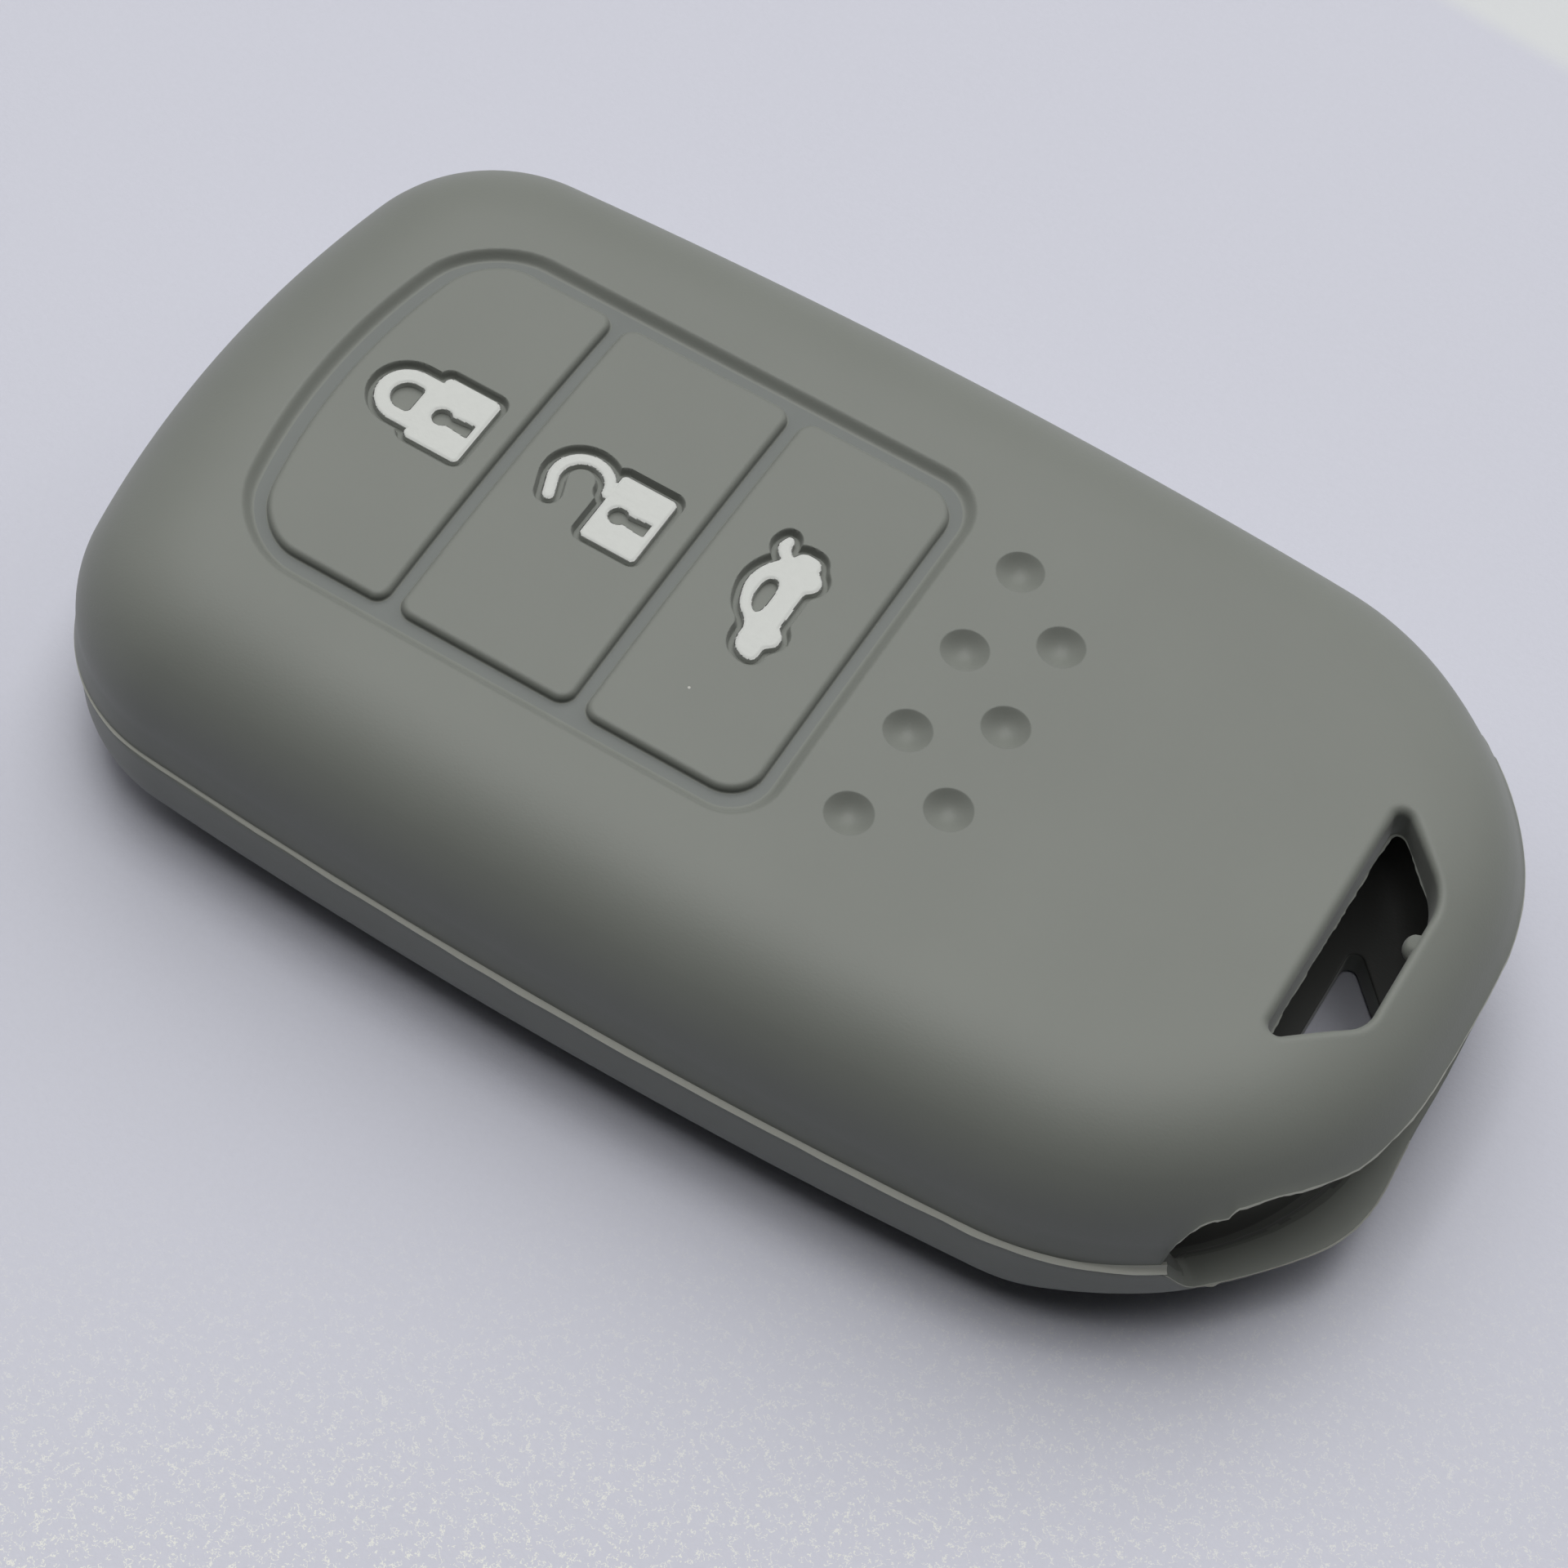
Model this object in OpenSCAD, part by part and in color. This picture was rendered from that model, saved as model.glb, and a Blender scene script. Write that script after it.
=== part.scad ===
// Key fob cover: a soft silicone sleeve with an open ring end, a key-ring slot through both faces and
// three button pads that travel in a thin web. The cover lies on its back, face up, ring end toward +X.

/* [Cover] */
// Length of the cover, from the blind tip of the front half to the ring-end tip of the back half
cover_l = 75.55; // [72:0.05:84]
// Half of the front half's width at the parting line
front_half_w = 21.8; // [20.8:0.1:24]
// Height of the cover over its two faces
cover_h = 15.7; // [15.2:0.1:19]
// Height of the parting line above the back face
parting_h = 7.0; // [6.6:0.1:7.4]
// Distance from the blind tip to the widest place of the sides
apex_from_tip = 35.5; // [32:0.5:39]
// How far the front half's ring end would pass the back half's
front_past = 0.45; // [0.2:0.05:0.8]
// How far the back half stands out past the front half along the sides
side_step = 0.25; // [0.1:0.05:0.5]
// How far the front half's blind tip stands out past the back half's
tip_step = 0.4; // [0.1:0.05:0.6]

/* [Outline radii] */
// Radius of the blind end, seen from above
blind_end_r = 64.8; // [55:0.1:80]
// Radius of the ring end, seen from above
ring_end_r = 73.2; // [60:0.1:85]
// Radius of the sides on the blind end's half
blind_side_r = 371; // [330:1:420]
// Radius of the sides on the ring end's half
ring_side_r = 328; // [300:1:380]
// Radius of the front half's corners at the blind end
blind_corner_r = 9.97; // [9.4:0.01:12]
// Radius of the front half's corners at the ring end
ring_corner_r = 18.0; // [15:0.1:20]
// Radius of the back half's corners at the ring end
back_ring_corner_r = 17.0; // [15:0.1:18]

/* [Walls and edges] */
// Thickness of the face
face_t = 2.2; // [1.9:0.1:2.6]
// Thickness of the side walls
side_t = 1.6; // [1.2:0.1:1.9]
// Thickness of the back
back_t = 2.0; // [1.6:0.1:2.4]
// Height of the drafted wall between the parting line and the face's rounding
wall_h = 1.85; // [1.4:0.05:2.4]
// Draft of that wall over its height
wall_draft = 0.2; // [0.1:0.02:0.3]
// Width of the face's rounding, seen from above
edge_run = 7.65; // [7.2:0.05:7.8]
// Width of the back's rounding, seen from above
back_edge_r = 5.0; // [4:0.1:5.4]
// Draft of the back half's wall over its height
back_draft = 0.06; // [0.02:0.01:0.15]
// How much further in the back's rounding lies at the ring end
back_sweep = 0.9; // [0.5:0.05:1.1]

/* [Open end] */
// Length of the open end, from the ring-end tip to where the side walls start
mouth_l = 7.25; // [6.4:0.05:7.4]
// Height of the front lip above the back face
mouth_top_h = 11.3; // [11:0.1:11.7]
// Height of the back rim above the back face
mouth_rim_h = 4.8; // [4.4:0.1:5.6]
// Length over which the back rim comes down from the parting line
mouth_dip_l = 2.8; // [2:0.1:3.4]
// Radius of the opening's upper corners
mouth_r = 2.6; // [2:0.1:3.4]

/* [Key-ring slot] */
// Distance from the slot's short side to the ring-end tip
slot_margin = 4.19; // [4:0.01:5]
// Width of the slot along the cover
slot_w = 4.14; // [4.12:0.02:4.6]
// Length of the slot's long side, before its corners are rounded
slot_long = 16.3; // [14:0.1:18]
// Length of the slot's short side
slot_short = 8.7; // [8:0.1:10]
// How far the slot's middle lies toward the near side
slot_shift = 0.5; // [0:0.1:1]
// Radius of the slot's corners at its long side
slot_r = 0.5; // [0.3:0.05:0.8]
// Radius of the slot's corners at its short side
slot_short_r = 2.4; // [1:0.1:2.8]

/* [Button window] */
// Distance from the blind tip to the window
window_margin = 7.65; // [7.4:0.05:9]
// Half of the window's width across the cover
window_half_w = 12.2; // [11.4:0.1:12.8]
// Radius of the window's corners at the blind end
window_blind_r = 4.0; // [3:0.1:5]
// Radius of the window's corners at the ring end
window_ring_r = 2.8; // [2:0.1:3.6]
// Rounding of the window's rim and of the pads' edges
rim_r = 0.35; // [0.2:0.05:0.5]
// Depth of the groove round the pads
groove_depth = 0.6; // [0.45:0.05:0.8]
// Thickness of the web under the groove
web_t = 0.5; // [0.3:0.05:0.8]
// Width of the groove at the sides and at the blind end
groove_w = 1.1; // [0.8:0.05:1.4]
// Width of the groove at the ring end
groove_ring_w = 0.95; // [0.8:0.05:1.2]
// Width of the groove between two pads
divider_w = 0.75; // [0.6:0.05:1]
// Radius of the bow of the window's and the lock pad's blind-end edges
blind_bow_r = 36; // [30:1:60]
// Radius of the bow between the lock pad and the unlock pad
lock_bow_r = 350; // [200:10:600]
// Radius of the bow between the unlock pad and the trunk pad
unlock_bow_r = 600; // [400:10:900]
// Radius of the bow of the window's and the trunk pad's ring-end edges
ring_bow_r = 1300; // [900:10:2000]

/* [Button pads] */
// Length of the lock pad along the cover
lock_l = 9.5; // [8.6:0.1:10]
// Length of the unlock pad along the cover
unlock_l = 10.35; // [9:0.05:11]
// Length of the trunk pad along the cover
trunk_l = 9.6; // [8.8:0.1:10.4]
// Radius of the lock pad's corners at the blind end
lock_corner_r = 3.0; // [2:0.1:4]
// Radius of the pads' corners at the grooves between them
pad_corner_r = 0.9; // [0.6:0.1:1.4]
// Radius of the trunk pad's corners at the ring end
trunk_corner_r = 2.0; // [1.2:0.1:2.8]
// Clearance between a pad and the web
pad_gap = 0.1; // [0.06:0.01:0.14]
// Height of the boss under a pad that presses the fob's own button
boss_h = 0.8; // [0.4:0.1:1]
// Diameter of that boss
boss_d = 6.0; // [4:0.1:7]

/* [Symbols] */
// Depth of the white fill below the face
ink_depth = 0.35; // [0.2:0.05:0.45]
// Thickness of the white fill
ink_t = 0.25; // [0.15:0.05:0.4]
// Distance from the lock pad's blind edge to the closed padlock's body
lock_icon_x = 4.5; // [4.3:0.05:5]
// How far the closed padlock lies toward the far side
lock_icon_y = 0.55; // [-0.5:0.05:1]
// Distance from the unlock pad's blind edge to the open padlock's body
unlock_icon_x = 5.2; // [4.9:0.02:5.6]
// How far the open padlock lies toward the far side
unlock_icon_y = 0.35; // [-0.5:0.05:1]
// Distance from the trunk pad's blind edge to the car's roof
car_x = 2.84; // [2.4:0.02:3.4]
// How far the car lies toward the far side
car_y = 0.0; // [-0.5:0.05:0.5]
// Length of a padlock's body along the cover
padlock_l = 3.4; // [2.8:0.05:3.8]
// Width of a padlock's body
padlock_w = 4.6; // [4:0.05:5]
// Radius of a padlock's corners
padlock_r = 0.35; // [0.2:0.05:0.5]
// Outer radius of a padlock's shackle
shackle_r = 1.82; // [1.6:0.02:1.96]
// Width of the shackle's band
shackle_band = 0.93; // [0.7:0.01:1.1]
// Length of the shackle's straight legs
shackle_leg = 1.05; // [0.8:0.05:1.5]
// Radius of the shackle's inner corners at the body
shackle_corner_r = 0.3; // [0.15:0.05:0.4]
// Outer radius of the open padlock's hook
hook_r = 1.87; // [1.6:0.01:2]
// Width of the hook's band
hook_band = 0.72; // [0.55:0.01:0.85]
// Distance from the open padlock's body to the middle of its hook
hook_reach = 1.55; // [1.4:0.05:1.7]
// How far the hook's middle lies toward the far side of the body's middle
hook_side = 0.6; // [0.4:0.05:0.8]
// Length of the straight end of the hook
hook_tail = 1.1; // [0.7:0.1:1.3]
// Diameter of the keyhole
keyhole_d = 1.05; // [0.8:0.05:1.2]
// Distance from the body's upper edge to the keyhole's middle
keyhole_in = 1.17; // [0.95:0.01:1.3]
// Length of the keyhole's slot
keyhole_l = 1.65; // [1.2:0.05:1.8]
// Length of the car from nose to tail
car_w = 7.25; // [6.4:0.05:8]
// Height of the car, from the wheels to the roof
car_h = 3.5; // [3:0.05:3.8]

/* [Dimples] */
// Diameter of a dimple
dimple_d = 2.35; // [1.8:0.05:2.6]
// Depth of a dimple
dimple_depth = 0.42; // [0.3:0.02:0.6]
// Distance between two dimples of a column
dimple_pitch = 5.87; // [5:0.01:6.2]
// Distance between the two columns
dimple_row = 4.02; // [3.4:0.02:4.8]
// Distance from the window to the first column
dimple_margin = 3.76; // [3:0.02:5]

/* [Hidden] */
$fn = 48;
rubber = [0.50, 0.52, 0.49];
rubber_low = [0.44, 0.46, 0.44];
white_ink = [0.86, 0.86, 0.84];
// Overrun of every cut past the surface that it opens
over = 0.5;
// Steps of the end, corner and side arcs in a quarter of the outline, and of a rounding
end_steps = 4;
corner_steps = 8;
side_steps = 5;
edge_steps = 8;
rim_steps = 3;
bow_steps = 10;
fillet_steps = 5;

blind_tip_x = -cover_l / 2;
ring_tip_x = cover_l / 2;
apex_x = blind_tip_x + apex_from_tip;
edge_drop = cover_h - parting_h - wall_h;
mouth_x = ring_tip_x - mouth_l;
slot_x1 = ring_tip_x - slot_margin;
slot_x0 = slot_x1 - slot_w;

window_x0 = blind_tip_x + window_margin;
lock_x0 = window_x0 + groove_w;
lock_x1 = lock_x0 + lock_l;
unlock_x0 = lock_x1 + divider_w;
unlock_x1 = unlock_x0 + unlock_l;
trunk_x0 = unlock_x1 + divider_w;
trunk_x1 = trunk_x0 + trunk_l;
window_x1 = trunk_x1 + groove_ring_w;
pad_half_w = window_half_w - groove_w;
dimple_x0 = window_x1 + dimple_margin;

web_top_z = cover_h - groove_depth;
pad_bottom_z = cover_h - face_t;
ink_top_z = cover_h - ink_depth;
ink_bottom_z = ink_top_z - ink_t;

// An outline is [blind tip x, ring tip x, half width, blind corner radius, ring corner radius]
front_outline = [blind_tip_x, ring_tip_x + front_past, front_half_w, blind_corner_r, ring_corner_r];
back_outline = [blind_tip_x + tip_step, ring_tip_x + back_draft, front_half_w + side_step, blind_corner_r,
                back_ring_corner_r];

// A bar is [blind edge x, ring edge x, half width, blind corner radius, ring corner radius,
// blind edge bow radius, ring edge bow radius]
window_bar = [window_x0, window_x1, window_half_w, window_blind_r, window_ring_r, blind_bow_r, ring_bow_r];
lock_bar = [lock_x0, lock_x1, pad_half_w, lock_corner_r, pad_corner_r, blind_bow_r, lock_bow_r];
unlock_bar = [unlock_x0, unlock_x1, pad_half_w, pad_corner_r, pad_corner_r, lock_bow_r, unlock_bow_r];
trunk_bar = [trunk_x0, trunk_x1, pad_half_w, pad_corner_r, trunk_corner_r, unlock_bow_r, ring_bow_r];

// The car in side view, nose toward the near side and boot lid raised: shares of its length, counted from
// the nose, and of its height, counted down from the roof
car_shares = [
    [0.00, 0.64], [0.04, 0.46], [0.12, 0.40], [0.22, 0.40], [0.29, 0.32], [0.36, 0.14], [0.45, 0.06],
    [0.57, 0.00], [0.68, 0.03], [0.78, 0.12], [0.86, 0.26], [0.90, 0.14], [0.97, 0.06], [1.07, 0.14],
    [1.04, 0.23], [0.97, 0.23], [0.90, 0.37], [0.94, 0.40], [0.99, 0.46], [1.00, 0.63], [0.98, 0.76]];
car_chin_shares = [[0.07, 0.81], [0.01, 0.78]];
car_window_shares = [[0.37, 0.43], [0.42, 0.29], [0.53, 0.23], [0.67, 0.26], [0.67, 0.43]];
wheel_place_shares = [0.24, 0.80];
wheel_rise_share = 0.79;
wheel_r_share = 0.21;
// Half of the turn that a wheel shows under the car, and its steps
wheel_turn = 84;
wheel_steps = 12;
// Where the hook's bend starts in the open padlock's body and where it ends, as angles from the ring end
hook_start = -15;
hook_end = 200;
hook_steps = 20;
// Steps of the shackle's inner bend
shackle_steps = 14;
// Steps of the back rim's way down
dip_steps = 8;

// Points of one quarter of an outline from its tip to its side, all at y over zero: an arc for the end,
// one for the corner and one for the side, each touching the next. way is 1 at the ring end
function quarter(tip, half_w, end_r, side_r, corner_r, inset, way) =
    let (end_c = [tip - way * end_r, 0],
         side_c = [apex_x, half_w - side_r],
         between = side_c - end_c,
         span = norm(between),
         end_reach = end_r - corner_r,
         side_reach = side_r - corner_r,
         along = (end_reach * end_reach - side_reach * side_reach + span * span) / (2 * span),
         across = sqrt(end_reach * end_reach - along * along),
         side_way = [-between.y, between.x] / span,
         corner_c = end_c + between * along / span + side_way * across * way,
         end_turn = atan2(corner_c.y, way * (corner_c.x - end_c.x)),
         side_turn = atan2(corner_c.y - side_c.y, way * (corner_c.x - side_c.x)))
    concat(
        [for (i = [0:end_steps - 1])
            arc_point(end_c, end_r - inset, end_turn * i / end_steps, way)],
        [for (i = [0:corner_steps - 1])
            arc_point(corner_c, corner_r - inset,
                      end_turn + (side_turn - end_turn) * i / corner_steps, way)],
        [for (i = [0:side_steps])
            arc_point(side_c, side_r - inset, side_turn + (90 - side_turn) * i / side_steps, way)]);

function arc_point(c, r, turn, way) = c + r * [way * cos(turn), sin(turn)];

function reversed(list) = [for (i = [len(list) - 1:-1:0]) list[i]];

function without_ends(list) = [for (i = [1:len(list) - 2]) list[i]];

// The whole outline, moved inward by inset, counter-clockwise from the ring tip
function outline(spec, inset) =
    let (ring = quarter(spec[1], spec[2], ring_end_r, ring_side_r, spec[4], inset, 1),
         blind = quarter(spec[0], spec[2], blind_end_r, blind_side_r, spec[3], inset, -1),
         far = concat(ring, [for (i = [len(blind) - 2:-1:0]) blind[i]]),
         near = [for (p = without_ends(reversed(far))) [p.x, -p.y]])
    concat(far, near);

// The arc that rounds the corner b between the points a and c
function corner_arc(a, b, c, r, steps) =
    let (u = (a - b) / norm(a - b),
         v = (c - b) / norm(c - b),
         half = acos(u * v) / 2,
         centre = b + (u + v) / norm(u + v) * r / sin(half),
         middle = atan2(b.y - centre.y, b.x - centre.x),
         turn = (90 - half) * (cross(u, v) > 0 ? -1 : 1))
    [for (i = [0:steps]) arc_point(centre, r, middle + turn * (2 * i / steps - 1), 1)];

// A polygon with every corner rounded, by one radius for each corner in turn
function rounded(points, radii, steps = fillet_steps) =
    let (n = len(points))
    [for (i = [0:n - 1])
        each corner_arc(points[(i + n - 1) % n], points[i], points[(i + 1) % n], radii[i % len(radii)], steps)];

function bow(r, y) = r - sqrt(r * r - y * y);

// Outline of a bar across the cover with rounded corners and bowed ends, moved inward by inset
function bar_outline(bar, inset) =
    let (x0 = bar[0] + inset,
         x1 = bar[1] - inset,
         w = bar[2] - inset,
         r0 = bar[3] - inset,
         r1 = bar[4] - inset,
         plain = concat(
             corner_arc([x0, -w], [x1, -w], [x1, w], r1, fillet_steps),
             edge_points(x1, -w + r1, w - r1),
             corner_arc([x1, -w], [x1, w], [x0, w], r1, fillet_steps),
             corner_arc([x1, w], [x0, w], [x0, -w], r0, fillet_steps),
             edge_points(x0, w - r0, -w + r0),
             corner_arc([x0, w], [x0, -w], [x1, -w], r0, fillet_steps)))
    [for (p = plain)
        let (part = (p.x - x0) / (x1 - x0))
        [p.x + bow(bar[5], p.y) * (1 - part) + bow(bar[6], p.y) * part, p.y]];

function edge_points(x, y0, y1) =
    [for (i = [1:bow_steps - 1]) [x, y0 + (y1 - y0) * i / bow_steps]];

// Rings of a rounding: each is [inset, height]
function rounding(run, drop, inset, z, steps) =
    [for (i = [1:steps]) [inset + run * (1 - cos(90 * i / steps)), z + drop * sin(90 * i / steps)]];

// A solid through rings of equal point counts, each ring [points, height], from the bottom up
module loft(rings) {
    n = len(rings[0][0]);
    last = len(rings) - 1;
    corners = [for (ring = rings) each [for (p = ring[0]) [p.x, p.y, ring[1]]]];
    sides = [for (k = [0:last - 1]) for (i = [0:n - 1])
        let (j = (i + 1) % n)
        each [[k * n + i, k * n + n + i, k * n + n + j], [k * n + i, k * n + n + j, k * n + j]]];
    bottom = [for (i = [0:n - 1]) i];
    top = [for (i = [n - 1:-1:0]) last * n + i];
    polyhedron(points = corners, faces = concat([bottom], sides, [top]));
}

// The front half's outer form: drafted wall, then a wide soft rounding up to the flat face
module front_form() {
    steps = concat([[0, parting_h], [wall_draft, parting_h + wall_h]],
                   rounding(edge_run, edge_drop, wall_draft, parting_h + wall_h, edge_steps));
    loft([for (s = steps) [outline(front_outline, s[0]), s[1]]]);
}

// The back half's outer form: a soft lower edge up to the open end's rim, then an almost upright wall
module back_form() {
    low = [for (s = rounding(back_edge_r, mouth_rim_h, back_draft, 0, edge_steps))
        [s[0], mouth_rim_h - s[1]]];
    steps = concat(reversed(low), [[back_draft, mouth_rim_h], [0, parting_h]]);
    loft([for (s = steps) [swept(back_outline, s[0], back_sweep * depth_share(s[1])), s[1]]]);
}

// Share of the further inset at a height: 0 from the back rim up, 1 at the back face
function depth_share(z) = max(0, 1 - z * z / (mouth_rim_h * mouth_rim_h));

// An outline moved inward by inset, and toward the ring end by more on top of it
function swept(spec, inset, more) =
    let (plain = outline(spec, inset),
         further = outline(spec, inset + more))
    [for (i = [0:len(plain) - 1])
        let (part = min(1, max(0, (plain[i].x - mouth_x + mouth_l) / mouth_l)))
        plain[i] + (further[i] - plain[i]) * part * part * (3 - 2 * part)];

// The room for the fob, one smooth form through both halves
module core() {
    inner_edge_r = back_edge_r - side_t;
    inner_drop = back_edge_r - back_t;
    low = [for (s = rounding(inner_edge_r, inner_drop, side_t, 0, edge_steps))
        [s[0], back_edge_r - s[1]]];
    high = rounding(edge_run - side_t, edge_drop - face_t, side_t + wall_draft, parting_h + wall_h, edge_steps);
    steps = concat(reversed(low), [[side_t, back_edge_r], [side_t, parting_h],
                   [side_t + wall_draft, parting_h + wall_h]], high);
    loft([for (s = steps) [outline(front_outline, s[0]), s[1]]]);
}

// What the open end takes from the front half: all below the lip, with a round upper corner
module mouth_front() {
    reach = mouth_l + front_past + over;
    translate([mouth_x, front_half_w + side_step + over, parting_h - over])
        rotate([90, 0, 0])
            linear_extrude(2 * (front_half_w + side_step + over)) {
                square([reach, mouth_top_h - mouth_r - parting_h + over]);
                translate([mouth_r, 0])
                    square([reach - mouth_r, mouth_top_h - parting_h + over]);
                translate([mouth_r, mouth_top_h - mouth_r - parting_h + over])
                    circle(mouth_r);
            }
}

// What the open end takes from the back half's rim, which comes down smoothly from the parting line
module mouth_back() {
    fall = parting_h - mouth_rim_h;
    reach = mouth_l + front_past + over;
    dip = [for (i = [0:dip_steps])
        [mouth_dip_l * i / dip_steps, mouth_rim_h + fall * (1 + cos(180 * i / dip_steps)) / 2]];
    translate([mouth_x, front_half_w + side_step + over, 0])
        rotate([90, 0, 0])
            linear_extrude(2 * (front_half_w + side_step + over))
                polygon(concat(dip, [[reach, mouth_rim_h], [reach, parting_h + over], [0, parting_h + over]]));
}

// The key-ring slot, a trapezoid with its long side toward the buttons
module slot_cut() {
    corners = [[slot_x1, -slot_short / 2 - slot_shift], [slot_x1, slot_short / 2 - slot_shift],
               [slot_x0, slot_long / 2 - slot_shift], [slot_x0, -slot_long / 2 - slot_shift]];
    translate([0, 0, -over])
        linear_extrude(cover_h + 2 * over)
            polygon(rounded(corners, [slot_short_r, slot_short_r, slot_r, slot_r]));
}

// The window that the web and the pads fill, with a rounded rim
module window_cut() {
    rim = [for (i = [0:rim_steps])
        [-rim_r * (1 - cos(90 * i / rim_steps)), cover_h - rim_r + rim_r * sin(90 * i / rim_steps)]];
    steps = concat([[0, pad_bottom_z - over]], rim, [[-rim_r, cover_h + over]]);
    loft([for (s = steps) [bar_outline(window_bar, s[0]), s[1]]]);
}

// Dimples for grip: a column of four and a column of three set between them
module dimples() {
    for (column = [0:1]) {
        count = 4 - column;
        for (i = [0:count - 1])
            translate([dimple_x0 + column * dimple_row, (i - (count - 1) / 2) * dimple_pitch,
                       cover_h - dimple_depth])
                cylinder(d = dimple_d, h = dimple_depth + over);
    }
}

module front_half() {
    color(rubber)
        difference() {
            front_form();
            core();
            window_cut();
            dimples();
            slot_cut();
            mouth_front();
        }
}

module back_half() {
    color(rubber_low)
        difference() {
            back_form();
            core();
            slot_cut();
            mouth_back();
        }
}

// The thin web: it fills the window below the groove and leaves a hole for each pad
module button_web() {
    color(rubber_low)
        translate([0, 0, web_top_z - web_t])
            linear_extrude(web_t)
                difference() {
                    polygon(bar_outline(window_bar, 0));
                    for (bar = [lock_bar, unlock_bar, trunk_bar])
                        polygon(bar_outline(bar, -pad_gap));
                }
}

// A pad with a rounded upper edge, a boss underneath and a recess for its symbol
module pad(bar) {
    rim = [for (i = [0:rim_steps])
        [rim_r * (1 - cos(90 * i / rim_steps)), cover_h - rim_r + rim_r * sin(90 * i / rim_steps)]];
    steps = concat([[0, pad_bottom_z]], rim);
    color(rubber) {
        difference() {
            loft([for (s = steps) [bar_outline(bar, s[0]), s[1]]]);
            translate([0, 0, ink_bottom_z])
                linear_extrude(ink_depth + ink_t + over)
                    children();
        }
        translate([(bar[0] + bar[1]) / 2, 0, pad_bottom_z - boss_h])
            cylinder(d = boss_d, h = boss_h);
    }
}

// A symbol's white fill, on the floor of its recess
module ink() {
    color(white_ink)
        translate([0, 0, ink_bottom_z])
            linear_extrude(ink_t)
                children();
}

// Body and keyhole that both padlocks share, from the middle of the body's upper edge
module padlock_body() {
    corners = [[0, -padlock_w / 2], [padlock_l, -padlock_w / 2], [padlock_l, padlock_w / 2], [0, padlock_w / 2]];
    difference() {
        polygon(rounded(corners, [padlock_r]));
        translate([keyhole_in, 0]) {
            circle(d = keyhole_d);
            polygon([[0, -keyhole_d / 4], [keyhole_l, -keyhole_d / 2], [keyhole_l, keyhole_d / 2],
                     [0, keyhole_d / 4]]);
        }
    }
}

// A closed padlock: the shackle's two legs stand on the body
module lock_shape() {
    inner_r = shackle_r - shackle_band;
    bend = [for (i = [0:shackle_steps]) arc_point([0, 0], inner_r, 90 + 180 * i / shackle_steps, 1)];
    foot = [shackle_leg / 2, inner_r];
    translate([lock_x0 + lock_icon_x, lock_icon_y]) {
        padlock_body();
        difference() {
            union() {
                translate([-shackle_leg, 0])
                    circle(shackle_r);
                translate([-shackle_leg, -shackle_r])
                    square([shackle_leg + padlock_r, 2 * shackle_r]);
            }
            translate([-shackle_leg, 0])
                polygon(concat(bend,
                               corner_arc(bend[shackle_steps], [foot.x, -foot.y], foot, shackle_corner_r,
                                          fillet_steps),
                               corner_arc([foot.x, -foot.y], foot, bend[0], shackle_corner_r, fillet_steps)));
        }
    }
}

// An open padlock: the hook stands on one leg and ends free on the near side
module unlock_shape() {
    inner_r = hook_r - hook_band;
    middle_r = hook_r - hook_band / 2;
    bend = [for (i = [0:hook_steps]) hook_start + (hook_end - hook_start) * i / hook_steps];
    tail = hook_tail * [-sin(hook_end), cos(hook_end)];
    translate([unlock_x0 + unlock_icon_x, unlock_icon_y]) {
        padlock_body();
        translate([-hook_reach, hook_side]) {
            polygon(concat([for (a = bend) arc_point([0, 0], hook_r, a, 1)],
                           [arc_point(tail, hook_r, hook_end, 1), arc_point(tail, inner_r, hook_end, 1)],
                           [for (a = reversed(bend)) arc_point([0, 0], inner_r, a, 1)]));
            translate(arc_point(tail, middle_r, hook_end, 1))
                circle(d = hook_band);
        }
    }
}

// A car in side view with its boot lid raised
module trunk_shape() {
    translate([trunk_x0 + car_x, car_y - car_w / 2])
        difference() {
            polygon(concat(place_shares(car_shares), wheel_arc(wheel_place_shares[1]),
                           wheel_arc(wheel_place_shares[0]), place_shares(car_chin_shares)));
            polygon(place_shares(car_window_shares));
        }
}

// The part of a wheel that shows under the car, from the tail's side to the nose's
function wheel_arc(share) =
    [for (i = [0:wheel_steps])
        arc_point([wheel_rise_share * car_h, share * car_w], wheel_r_share * car_h,
                  wheel_turn * (1 - 2 * i / wheel_steps), 1)];

function place_shares(shares) = [for (s = shares) [s[1] * car_h, s[0] * car_w]];

module lock_button() {
    pad(lock_bar) lock_shape();
}

module unlock_button() {
    pad(unlock_bar) unlock_shape();
}

module trunk_button() {
    pad(trunk_bar) trunk_shape();
}

module lock_icon() {
    ink() lock_shape();
}

module unlock_icon() {
    ink() unlock_shape();
}

module trunk_icon() {
    ink() trunk_shape();
}

front_half();
back_half();
button_web();
lock_button();
unlock_button();
trunk_button();
lock_icon();
unlock_icon();
trunk_icon();
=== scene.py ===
"""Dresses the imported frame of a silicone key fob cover.

The cover is one soft moulding with three buttons. Each of its regions is a surface worked out here on the
frame's own sizes: plan outlines of tangent arcs, carried up and over by profiles. Lengths are in millimetres
until a mesh is made, and in metres from then on.
"""

import logging
import math
from dataclasses import dataclass, field
from enum import Enum
from typing import Callable, Sequence

import bmesh
import bpy
import numpy as np
from mathutils import Matrix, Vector
from mathutils.geometry import delaunay_2d_cdt


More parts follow.
